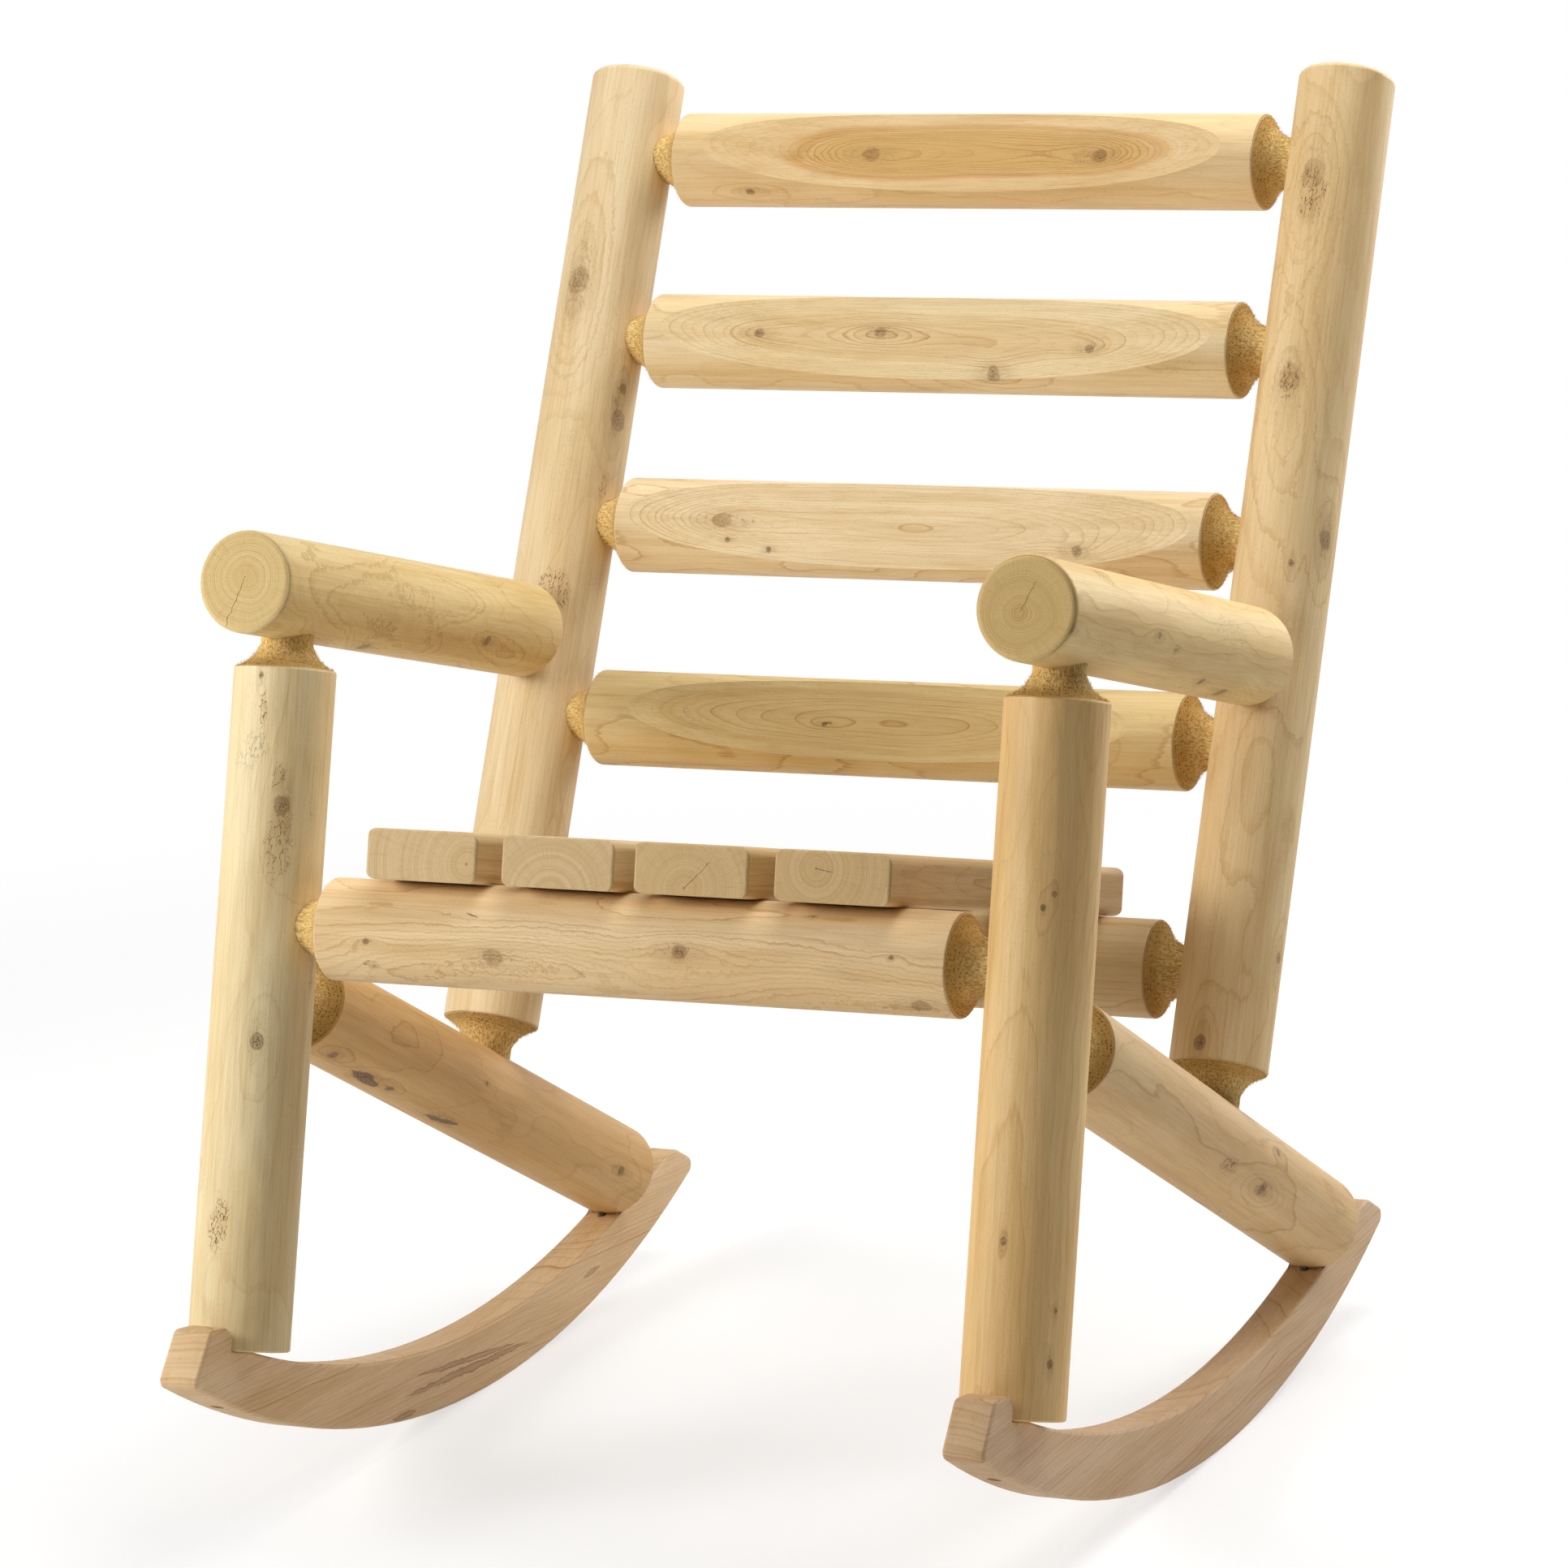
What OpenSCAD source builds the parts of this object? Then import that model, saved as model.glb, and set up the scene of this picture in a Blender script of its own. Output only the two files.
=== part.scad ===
// Log rocking chair with a ladder back.
// Turned logs join by shouldered round tenons glued into blind mortises, on two sawn rockers.
// Millimetres, +Z up, -Y to the front, X across. The chair stands on the floor at z = 0,
// leaning back by rest_lean, and the origin is under the middle of its outline.
// Left is -X, the left side as seen from the front.
// The members are laid out in the leg frame: y = 0 on the front legs' axes, z = 0 at the legs'
// feet, z up along the legs. The whole chair is then leaned back onto its rockers.

/* [Logs] */
// Diameter of every turned log
log_d = 76.2; // [70:0.1:84]
// Rounding of the rim where a log steps in to its tenon
rim_round = 2.2; // [1:0.1:3]
// Rounding of the open ends: post tops and arm fronts
end_round = 4.5; // [1:0.5:8]
// Chamfer on the square-cut ends: leg feet and brace ends
cut_chamfer = 1.2; // [0.5:0.1:3]

/* [Tenon joints] */
// Diameter of the round tenons
tenon_d = 39; // [32:0.5:46]
// How deep a tenon goes into the log that holds it
tenon_depth = 38; // [24:0.5:40]
// Length of the scooped shoulder between rim and tenon
shoulder_len = 18.5; // [14:0.5:18.5]
// Radius of the scooped shoulder's hollow
shoulder_r = 27; // [24:0.5:60]
// Radial clearance of a tenon in its mortise
tenon_fit = 0.2; // [0.1:0.05:0.4]
// Room left past a tenon's end
mortise_room = 1.5; // [0.5:0.5:3]

/* [Cross rails] */
// Length of each rail's full log between its rims
rail_len = 499; // [430:1:600]
// Neck showing between a rail's rim and the log that holds it
rail_gap = 19.5; // [19:0.5:26]
// Distance of each back rail below the post tops
rail_drops = [70.5, 226.7, 383.3, 544.9]; // [60:0.1:570]
// Depth of the scooped front face of each back rail, from the top one down
scoop_depths = [19, 21, 22, 17]; // [8:0.5:24]
// Radius of the scooped faces, which fade out towards the rims
scoop_r = 1330; // [900:10:1400]

/* [Back posts] */
// Length of a post's full log
post_len = 800; // [740:1:900]
// Angle between post and front leg
post_rake = 11.46; // [8:0.01:14]
// Place of the post on the side brace, measured from the leg's axis
post_set = 382; // [350:1:410]
// Neck showing at the post's foot
post_gap = 23.5; // [19:0.5:28]

/* [Front legs and arms] */
// Length of a leg from its foot to the rim at its top
leg_len = 504.2; // [460:0.1:560]
// Neck showing between leg and arm
leg_gap = 21.5; // [19:0.5:28]
// Reach of the arm in front of the leg's axis
arm_front = 73; // [50:1:110]
// Rise of the arm towards the back
arm_rise = 0.72; // [0:0.01:4]
// Neck showing between arm and post
arm_gap = 20; // [19:0.5:26]

/* [Side braces] */
// Height of the brace's axis above the leg's foot, at the leg
brace_h = 272.2; // [262:0.1:276]
// Slope of the brace, down to the back
brace_slope = 11.92; // [11:0.01:13]
// Neck showing between leg and brace
brace_gap = 19.5; // [19:0.5:24]
// Length of the brace's full log from its rim to its cut end
brace_len = 588; // [586:0.5:592]

/* [Seat] */
// Height of the front seat rail's axis above the legs' feet
front_rail_h = 314.3; // [310:0.1:360]
// Height of the rear seat rail's axis above the rim at the post's foot
rear_rail_h = 74.9; // [60:0.1:110]
// Width of a slat
slat_w = 89.5; // [70:0.5:95]
// Thickness of a slat
slat_t = 37.5; // [25:0.5:42]
// Length of a slat
slat_len = 470; // [450:1:480]
// Reach of the slats in front of the front rail's axis
slat_front = 42; // [36:1:55]
// Gap between the two middle slats
middle_gap = 16; // [8:0.5:24]
// Gap between a middle and an outer slat
side_gap = 20; // [8:0.5:28]
// Rounding of the slats' long edges
slat_round = 8; // [2:0.5:12]
// Rounding of the slats' end edges
slat_end_round = 2.5; // [1:0.5:5]

/* [Rockers] */
// Thickness of the rocker board
rocker_t = 32; // [26:0.5:40]
// Radius of the edge that rolls on the floor
floor_r = 959; // [940:1:980]
// Depth of the rolling edge below the legs' feet
floor_drop = 62.5; // [58:0.1:68]
// Distance of its lowest point behind the legs' axes
floor_back = 169.5; // [160:0.1:176]
// Radius of the rocker's upper edge
top_r = 1019.5; // [1000:0.5:1040]
// Depth of the upper edge below the legs' feet
top_drop = 12.9; // [11.8:0.1:14]
// Distance of its lowest point behind the legs' axes
top_back = 151; // [149:0.1:154]
// Height of the lip in front of the leg
lip_h = 18.9; // [14:0.1:24]
// Drop of the lip's top from its back to its front
lip_fall = 4; // [0:0.5:6]
// Length of the lip's top
lip_len = 34.5; // [30:0.5:42]
// Reach of the rocker's toe in front of the legs' axes
toe = 92.5; // [86:0.5:98]
// Rounding of the lip's back corner
lip_back_round = 12; // [6:0.5:15]
// Rounding of the lip's front and toe corners
toe_round = 6.5; // [3:0.5:9]
// Height of the tail's crown above the legs' feet
tail_h = 157.5; // [154:0.5:160]
// Fall of the tail's top from its crown to its tip
tail_fall = 12; // [6:1:20]
// Rounding of the tail's crown
crown_round = 35; // [28:1:40]
// Rounding of the tail's tip
tip_round = 8; // [6:0.5:11]

/* [Stance] */
// Angle by which the legs lean back; the empty chair balances at about 16
rest_lean = 16; // [4:0.1:17]
// Clearance under a piece that sits on a round log or in a seat cut for it
seat_fit = 0.2; // [0.1:0.05:0.3]

/* [Screws] */
// Shank, length, head diameter and head height of the slat screws
slat_screw = [4.5, 62, 9, 3]; // [2:0.5:80]
// The same for the screws through the posts and legs into the rails' tenons
tenon_screw = [5, 44, 10, 3.5]; // [2:0.5:80]
// The same for the screws through the posts into the arms' tenons
arm_screw = [6, 62, 11, 4]; // [2:0.5:80]
// The same for the screws through the rockers into the legs and braces
rocker_screw = [6.4, 84, 10, 4]; // [2:0.5:100]
// Clearance of a screw in its hole
screw_fit = 0.15; // [0.05:0.05:0.4]
// Depth of a countersunk head below the slat
slat_screw_sink = 0.6; // [0:0.1:2]
// Depth of the plain hole over the other heads
bore_sink = 6; // [3:0.5:12]
// Distance of a slat's two screws from its middle line
slat_screw_x = 24; // [14:1:30]
// Distance of the rocker's front screw ahead of the leg's axis, at the floor edge
front_screw_y = 27; // [18:1:32]
// Distance of the rocker's rear screw ahead of the brace's lower corner
rear_screw_in = 7; // [4:0.5:12]
// Side of the square drive in each screw head
drive = 3.4; // [2:0.1:4]

/* [Hidden] */
$fn = 96;
cedar = [0.90, 0.78, 0.58];
cedar_pale = [0.93, 0.82, 0.63];
board = [0.84, 0.70, 0.54];
steel = [0.62, 0.62, 0.60];
left = -1;
right = 1;
over = 0.05;

log_r = log_d / 2;
tenon_r = tenon_d / 2;
half_w = rail_len / 2 + rail_gap + log_r;

// centre of the shoulder's hollow, as distance from the log's axis and past the rim
shoulder_chord = norm([log_r - tenon_r, shoulder_len]);
shoulder_rise = sqrt(pow(shoulder_r, 2) - pow(shoulder_chord / 2, 2)) / shoulder_chord;
hollow = [(log_r + tenon_r) / 2 + shoulder_rise * shoulder_len,
  shoulder_len / 2 + shoulder_rise * (log_r - tenon_r)];
// centre of the rim's rounding, tangent to the log and to the hollow
rim = [log_r - rim_round, hollow[1] - sqrt(pow(shoulder_r + rim_round, 2) - pow(hollow[0] - log_r + rim_round, 2))];
rim_top = rim + rim_round * (hollow - rim) / norm(hollow - rim);

// directions and crossings in the leg frame, as [y, z]
brace_dir = [cos(brace_slope), -sin(brace_slope)];
brace_up = [sin(brace_slope), cos(brace_slope)];
post_dir = [sin(post_rake), cos(post_rake)];
arm_dir = [cos(arm_rise), sin(arm_rise)];
brace_start = [0, brace_h];
post_start = brace_start + post_set * brace_dir;
arm_start = [0, leg_len + leg_gap + log_r / cos(arm_rise)];
post_foot = (log_r + post_gap) / cos(brace_slope - post_rake);
post_top = post_foot + post_len;
brace_foot = log_r / cos(brace_slope) + brace_gap;
brace_end = brace_foot + brace_len;
brace_corner = brace_start + brace_end * brace_dir - log_r * brace_up;
arm_reach = cross(post_start - arm_start, post_dir) / cross(arm_dir, post_dir);
arm_rim = arm_reach - log_r / cos(post_rake + arm_rise) - arm_gap;
function on_post(up) = post_start + up * post_dir;
function rail_at(i) = on_post(post_top - rail_drops[i]);
front_rail = [0, front_rail_h];
rear_rail = on_post(post_foot + rear_rail_h);

// seat frame: origin on the front rail's axis, turned so that both rails' axes lie at z = 0
seat_run = rear_rail - front_rail;
seat_tilt = atan2(seat_run[1], seat_run[0]);
slat_x = [-1.5 * slat_w - middle_gap / 2 - side_gap, -0.5 * (slat_w + middle_gap),
  0.5 * (slat_w + middle_gap), 1.5 * slat_w + middle_gap / 2 + side_gap];

// rocker outline
floor_c = [floor_back, floor_r - floor_drop];
top_c = [top_back, top_r - top_drop];
lip_back = -log_r - seat_fit;
lip_top_back = [lip_back, lip_h];
lip_top_front = [lip_back - lip_len, lip_h - lip_fall];
lip_rise = lip_fall / lip_len;
toe_point = [-toe, floor_c[1] - sqrt(pow(floor_r, 2) - pow(toe + floor_back, 2))];
// crown circle: its top at tail_h, and it leaves the upper edge without a corner
crown = [top_back + sqrt(pow(top_r + crown_round, 2) - pow(top_c[1] - tail_h + crown_round, 2)), tail_h - crown_round];
crown_start = top_c + top_r * (crown - top_c) / norm(crown - top_c);
crown_end = crown + crown_round * [sin(tail_fall), cos(tail_fall)];
// first point from p along u at distance r from c
function on_circle(p, u, c, r) = let (w = p - c, b = w * u) p + (sqrt(b * b - w * w + r * r) - b) * u;
// tip circle: inside the rolling edge, under the slope that leaves the crown
tip = on_circle(crown_end - tip_round * [sin(tail_fall), cos(tail_fall)], [cos(tail_fall), -sin(tail_fall)],
  floor_c, floor_r - tip_round);
tip_start = tip + tip_round * [sin(tail_fall), cos(tail_fall)];
tip_end = floor_c + floor_r * (tip - floor_c) / norm(tip - floor_c);
// toe circle: inside the rolling edge and the slanted front
front_u = (toe_point - lip_top_front) / norm(toe_point - lip_top_front);
toe_mid = on_circle(lip_top_front + toe_round * [-front_u[1], front_u[0]], front_u, floor_c, floor_r - toe_round);

// floor frame: the leg frame leaned back and set on the floor
function lean(p) = [p[0] * cos(rest_lean) + p[1] * sin(rest_lean), p[1] * cos(rest_lean) - p[0] * sin(rest_lean)];
front_edge = lean(toe_mid)[0] - toe_round;
post_back = lean(on_post(post_top - end_round))[0] + (log_r - end_round) * cos(rest_lean + post_rake) + end_round;
rear_edge = max(lean(tip)[0] + tip_round, post_back);
origin = [(front_edge + rear_edge) / 2, lean(floor_c)[1] - floor_r];

module stand() { // from the leg frame to the floor frame
  translate([0, -origin[0], -origin[1]]) rotate([-rest_lean, 0, 0]) children();
}

module at(x, p, angle = 0) { // at [y, z] = p, with +Z turned back by angle
  translate([x, p[0], p[1]]) rotate([-angle, 0, 0]) children();
}

// Turned logs are half profiles, [distance from the axis, distance along it], turned about Z.

module corner(mid, r, a, out, b) { // what a rounding of radius r about mid takes off between a and b
  difference() {
    polygon([mid, a, out, b]);
    translate(mid) circle(r);
  }
}

module neck_profile(reach, grow = 0) { // shoulder and tenon past a rim at 0
  difference() {
    translate([0, -over]) square([log_r + grow, shoulder_len + over]);
    translate(hollow) circle(shoulder_r - grow);
  }
  polygon([[0, 0], [tenon_r + grow, 0], [tenon_r + grow, reach - 1.5], [tenon_r + grow - 1.5, reach], [0, reach]]);
}

module end_profile(kind, reach) { // the last 10 mm of a log that ends at 0, and what it has past that
  difference() {
    union() {
      translate([0, -10]) square([log_r, 10]);
      if (kind == "tenon") neck_profile(reach);
    }
    if (kind == "tenon")
      corner(rim, rim_round, [log_r + 1, rim[1]], [log_r + 1, rim_top[1] + 0.3], rim_top);
    if (kind == "round")
      corner([log_r - end_round, -end_round], end_round, [log_r + 1, -end_round], [log_r + 1, 1],
        [log_r - end_round, 1]);
    if (kind == "cut")
      polygon([[log_r - cut_chamfer, 0], [log_r - cut_chamfer, 1], [log_r + 1, 1], [log_r + 1, -cut_chamfer],
        [log_r, -cut_chamfer]]);
  }
}

module log_piece(len, start, start_reach, end, end_reach) // along +Z from 0 to len
  rotate_extrude() {
    translate([0, 9]) square([log_r, len - 18]);
    translate([0, len]) end_profile(end, end_reach);
    mirror([0, 1]) end_profile(start, start_reach);
  }

module mortise(reach) // room for a neck whose rim is at 0 and whose tenon points along +Z
  rotate_extrude() neck_profile(reach + mortise_room, tenon_fit);

// Reach of each tenon from its rim to its end.
rail_reach = rail_gap + tenon_depth;
leg_reach = leg_gap + tenon_depth;
arm_neck = arm_gap + tenon_depth;
brace_reach = brace_gap + tenon_depth;
post_reach = post_gap + tenon_depth;

module rail_mortise(side, p)
  translate([side * rail_len / 2, p[0], p[1]]) rotate([0, side * 90, 0]) mortise(rail_reach);

// Screws have their head on top at 0 and point down.

module screw(s) {
  difference() {
    rotate_extrude() polygon([[0, 0], [s[2] / 2, 0], [s[2] / 2, -0.5], [s[0] / 2, -s[3]],
      [s[0] / 2, -s[1] + 1.6 * s[0]], [0.4, -s[1]], [0, -s[1]]]);
    translate([-drive / 2, -drive / 2, -0.65 * s[3]]) cube([drive, drive, s[3]]);
  }
}

module screw_hole(s) // room for the screw, and a plain hole over its head
  rotate_extrude() polygon([[0, 15], [s[2] / 2 + screw_fit, 15], [s[2] / 2 + screw_fit, -0.5 - screw_fit],
    [s[0] / 2 + screw_fit, -s[3] - screw_fit], [s[0] / 2 + screw_fit, -s[1] - 1], [0, -s[1] - 1]]);

// Places of the screws, each turned so that +Z points out of its hole.

module in_seat() // from the seat frame to the leg frame
  translate([0, front_rail[0], front_rail[1]]) rotate([seat_tilt, 0, 0]) children();

module slat_screw_places(slats = [0:3], rails = [0, 1])
  for (i = slats, k = rails, s = [-1, 1])
    in_seat() translate([slat_x[i] + s * slat_screw_x, k * norm(seat_run), log_r + seat_fit + slat_t - slat_screw_sink])
      children();

module rail_screw_place(side, p, angle) // from behind a post or leg, through the tenon of the rail at p
  at(side * (half_w - tenon_depth / 2), p, angle + 90)
    translate([0, 0, sqrt(pow(log_r, 2) - pow(tenon_depth / 2, 2)) - bore_sink]) children();

module arm_screw_place(side) // from behind the post, along the arm's axis
  at(side * half_w, arm_start + (arm_reach + log_r / cos(post_rake + arm_rise) - bore_sink) * arm_dir, 90 - arm_rise)
    children();

// A rocker's two screws point at the centre of its rolling edge.
front_turn = asin((-front_screw_y - floor_back) / floor_r);
rear_aim = brace_corner - rear_screw_in * brace_dir - floor_c;
rear_turn = atan2(rear_aim[0], -rear_aim[1]);
module rocker_screw_place(side, turn)
  at(side * half_w, floor_c, 180 - turn) translate([0, 0, floor_r - bore_sink]) children();

// Rockers

module round_corner(mid, r, a, b) { // what a rounding of radius r about mid takes off between a and b
  difference() {
    polygon([mid, mid + 1.1 * (a - mid), mid + 3 * (a + b - 2 * mid), mid + 1.1 * (b - mid)]);
    translate(mid) circle(r + 0.005);
  }
}

module line_corner(a, p, b, r) { // the same for the corner p between straight edges from a and to b
  u = (a - p) / norm(a - p);
  v = (b - p) / norm(b - p);
  half = acos(u * v) / 2;
  round_corner(p + r / sin(half) * (u + v) / norm(u + v), r, p + r / tan(half) * u, p + r / tan(half) * v);
}

module rocker_profile() { // [y, z] in the leg frame
  under = -2 * floor_drop;
  slope = [cos(tail_fall), -sin(tail_fall)];
  board_front = lip_back - lip_len / 2;
  difference() {
    intersection() { // inside the rolling edge
      translate(floor_c) circle(floor_r, $fn = 720);
      union() {
        difference() { // the sweep, under the upper edge and the tail's slope
          polygon([[board_front, under], [board_front, 60], crown_end - 120 * slope, crown_end + 60 * slope,
            [crown_end[0] + 60, under]]);
          translate(top_c) circle(top_r, $fn = 720);
        }
        polygon([lip_top_front + 2 * (toe_point - lip_top_front), lip_top_front, lip_top_back + [1, lip_rise],
          [lip_back + 1, under], [-toe, under]]);
      }
    }
    translate([lip_back, 0]) square([log_r, 40]); // the leg's flat seat behind the lip
    line_corner([lip_back, -10], lip_top_back, lip_top_front, lip_back_round);
    line_corner(lip_top_back, lip_top_front, toe_point, toe_round);
    round_corner(toe_mid, toe_round, toe_mid - toe_round * [-front_u[1], front_u[0]],
      toe_mid + toe_round * (toe_mid - floor_c) / norm(toe_mid - floor_c));
    round_corner(crown, crown_round, crown_start, crown_end);
    round_corner(tip, tip_round, tip_start, tip_end);
  }
}

module rocker(side) color(board) stand() difference() {
  translate([side * half_w - rocker_t / 2, 0, 0]) rotate([90, 0, 90]) linear_extrude(rocker_t) rocker_profile();
  // seat cut for the brace's lower corner
  at(side * half_w, brace_start + (brace_end - 100) * brace_dir, 90 + brace_slope)
    cylinder(r = log_r + seat_fit, h = 100 + seat_fit);
  for (turn = [front_turn, rear_turn]) rocker_screw_place(side, turn) screw_hole(rocker_screw);
}
module rocker_left() rocker(left);
module rocker_right() rocker(right);

// Legs, braces, posts and arms

module front_leg(side) color(cedar) stand() difference() {
  at(side * half_w, [0, 0]) log_piece(leg_len, "cut", 0, "tenon", leg_reach);
  rail_mortise(side, front_rail);
  at(side * half_w, brace_start + brace_foot * brace_dir, brace_slope - 90) mortise(brace_reach);
  rail_screw_place(side, front_rail, 0) screw_hole(tenon_screw);
  rocker_screw_place(side, front_turn) screw_hole(rocker_screw);
}
module front_leg_left() front_leg(left);
module front_leg_right() front_leg(right);

module side_brace(side) color(cedar) stand() difference() {
  at(side * half_w, brace_start + brace_foot * brace_dir, 90 + brace_slope)
    log_piece(brace_len, "tenon", brace_reach, "cut", 0);
  at(side * half_w, on_post(post_foot), 180 + post_rake) mortise(post_reach);
  rocker_screw_place(side, rear_turn) screw_hole(rocker_screw);
}
module side_brace_left() side_brace(left);
module side_brace_right() side_brace(right);

module back_post(side) color(cedar_pale) stand() difference() {
  at(side * half_w, on_post(post_foot), post_rake) log_piece(post_len, "tenon", post_reach, "round", 0);
  for (i = [0:3]) {
    rail_mortise(side, rail_at(i));
    rail_screw_place(side, rail_at(i), post_rake) screw_hole(tenon_screw);
  }
  rail_mortise(side, rear_rail);
  rail_screw_place(side, rear_rail, post_rake) screw_hole(tenon_screw);
  at(side * half_w, arm_start + arm_rim * arm_dir, 90 - arm_rise) mortise(arm_neck);
  arm_screw_place(side) screw_hole(arm_screw);
}
module back_post_left() back_post(left);
module back_post_right() back_post(right);

module arm(side) color(cedar) stand() difference() {
  at(side * half_w, arm_start - arm_front * arm_dir, 90 - arm_rise)
    log_piece(arm_front + arm_rim, "round", 0, "tenon", arm_neck);
  at(side * half_w, [0, leg_len]) mortise(leg_reach);
  arm_screw_place(side) screw_hole(arm_screw);
}
module arm_left() arm(left);
module arm_right() arm(right);

// Cross rails

module rail_log()
  translate([-rail_len / 2, 0, 0]) rotate([0, 90, 0]) log_piece(rail_len, "tenon", rail_reach, "tenon", rail_reach);

module back_rail(i) color(cedar_pale) stand() difference() {
  at(0, rail_at(i), post_rake) difference() {
    rail_log();
    // long hollow across the front face
    translate([0, scoop_depths[i] - log_r - scoop_r, 0])
      cylinder(r = scoop_r, h = log_d + 2, center = true, $fn = 720);
  }
  for (side = [left, right]) rail_screw_place(side, rail_at(i), post_rake) screw_hole(tenon_screw);
}
module back_rail_1() back_rail(0);
module back_rail_2() back_rail(1);
module back_rail_3() back_rail(2);
module back_rail_4() back_rail(3);

module seat_rail(p, angle, k) color(cedar) stand() difference() {
  at(0, p, angle) rail_log();
  for (side = [left, right]) rail_screw_place(side, p, angle) screw_hole(tenon_screw);
  slat_screw_places(rails = [k]) screw_hole(slat_screw);
}
module front_seat_rail() seat_rail(front_rail, 0, 0);
module rear_seat_rail() seat_rail(rear_rail, post_rake, 1);

// Seat slats

module round_rect(w, h, r) { // centred on the origin
  square([w - 2 * r, h], center = true);
  square([w, h - 2 * r], center = true);
  for (x = [-1, 1], y = [-1, 1]) translate([x * (w / 2 - r), y * (h / 2 - r)]) circle(r);
}

module seat_slat(i) color(cedar_pale) stand() difference() {
  in_seat() translate([slat_x[i], slat_len / 2 - slat_front, log_r + seat_fit + slat_t / 2]) intersection() {
    rotate([90, 0, 0]) linear_extrude(slat_len + 2, center = true) round_rect(slat_w, slat_t, slat_round);
    rotate([90, 0, 90]) linear_extrude(slat_w + 2, center = true) round_rect(slat_len, slat_t, slat_end_round);
    linear_extrude(slat_t + 2, center = true) round_rect(slat_w, slat_len, slat_end_round);
  }
  slat_screw_places(slats = [i]) screw_hole(slat_screw);
}
module seat_slat_1() seat_slat(0);
module seat_slat_2() seat_slat(1);
module seat_slat_3() seat_slat(2);
module seat_slat_4() seat_slat(3);

// Screws

module tenon_screws() color(steel) stand() for (side = [left, right]) {
  for (i = [0:3]) rail_screw_place(side, rail_at(i), post_rake) screw(tenon_screw);
  rail_screw_place(side, rear_rail, post_rake) screw(tenon_screw);
  rail_screw_place(side, front_rail, 0) screw(tenon_screw);
}
module arm_screws() color(steel) stand() for (side = [left, right]) arm_screw_place(side) screw(arm_screw);
module slat_screws() color(steel) stand() slat_screw_places() screw(slat_screw);
module rocker_screws() color(steel) stand()
  for (side = [left, right], turn = [front_turn, rear_turn]) rocker_screw_place(side, turn) screw(rocker_screw);

rocker_left();
rocker_right();
front_leg_left();
front_leg_right();
side_brace_left();
side_brace_right();
back_post_left();
back_post_right();
arm_left();
arm_right();
back_rail_1();
back_rail_2();
back_rail_3();
back_rail_4();
front_seat_rail();
rear_seat_rail();
seat_slat_1();
seat_slat_2();
seat_slat_3();
seat_slat_4();
tenon_screws();
arm_screws();
slat_screws();
rocker_screws();
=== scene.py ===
# %% [markdown]
# # A log rocking chair with a ladder back
# The chair is made of milled cedar logs, sawn rockers and seat slats. Its pieces come ready made
# and in place, so this notebook only gives them their looks: real wood, with growth rings that
# run right through each log, knots where branches grew, and rough tenons.
# Every length here is in metres, except inside the wood patterns, which count in millimetres.

# %% Load the chair
import math
import random

import bmesh
import bpy
import numpy as np
from mathutils import Euler, Matrix, Vector


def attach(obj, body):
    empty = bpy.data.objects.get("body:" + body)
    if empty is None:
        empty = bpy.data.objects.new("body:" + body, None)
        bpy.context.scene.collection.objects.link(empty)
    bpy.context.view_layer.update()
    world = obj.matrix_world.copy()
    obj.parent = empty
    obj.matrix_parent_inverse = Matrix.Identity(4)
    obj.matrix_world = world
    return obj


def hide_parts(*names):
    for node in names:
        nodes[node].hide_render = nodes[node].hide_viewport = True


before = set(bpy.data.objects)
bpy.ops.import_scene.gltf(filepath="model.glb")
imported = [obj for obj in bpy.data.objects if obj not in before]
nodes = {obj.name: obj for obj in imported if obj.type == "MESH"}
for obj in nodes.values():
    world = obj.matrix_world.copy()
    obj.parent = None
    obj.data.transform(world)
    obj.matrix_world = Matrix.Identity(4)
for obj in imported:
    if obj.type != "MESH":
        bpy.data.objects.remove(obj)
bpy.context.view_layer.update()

# %% [markdown]
# ## The camera
# A long lens far from the chair keeps its lines nearly parallel, as in a shop photograph. The
# camera stands to the right of the front, looks down a little and is rolled slightly. It is set
# by its place and three angles, because that is how such a view is measured.

# %% Camera
CAMERA_AT = Vector((1.9006, -4.2759, 1.5151))
CAMERA_TURN = math.radians(24.10)
CAMERA_DOWN = math.radians(12.19)
CAMERA_ROLL = math.radians(2.72)
LENS_MM = 144.55


def camera_matrix():
    forward = Vector((-math.sin(CAMERA_TURN) * math.cos(CAMERA_DOWN),
                      math.cos(CAMERA_TURN) * math.cos(CAMERA_DOWN), -math.sin(CAMERA_DOWN)))
    level = Vector((math.cos(CAMERA_TURN), math.sin(CAMERA_TURN), 0))
    upright = level.cross(forward)
    right = level * math.cos(CAMERA_ROLL) - upright * math.sin(CAMERA_ROLL)
    up = upright * math.cos(CAMERA_ROLL) + level * math.sin(CAMERA_ROLL)
    turn = Matrix((right, up, -forward)).transposed().to_4x4()
    return Matrix.Translation(CAMERA_AT) @ turn


camera_data = bpy.data.cameras.new("camera")
camera_data.sensor_width = 36
camera_data.lens = LENS_MM
camera_data.clip_end = 100
camera = bpy.data.objects.new("camera", camera_data)
camera.matrix_world = camera_matrix()
bpy.context.scene.collection.objects.link(camera)
bpy.context.scene.camera = camera
print("camera at", tuple(CAMERA_AT))

# %% [markdown]
# ## Formulas as nodes
# A shader is a graph, but a formula is easier to read as code. This small helper adds a node for
# each step and joins it to the ones before, so that wood can be written as arithmetic.

# %% Node helper


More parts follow.
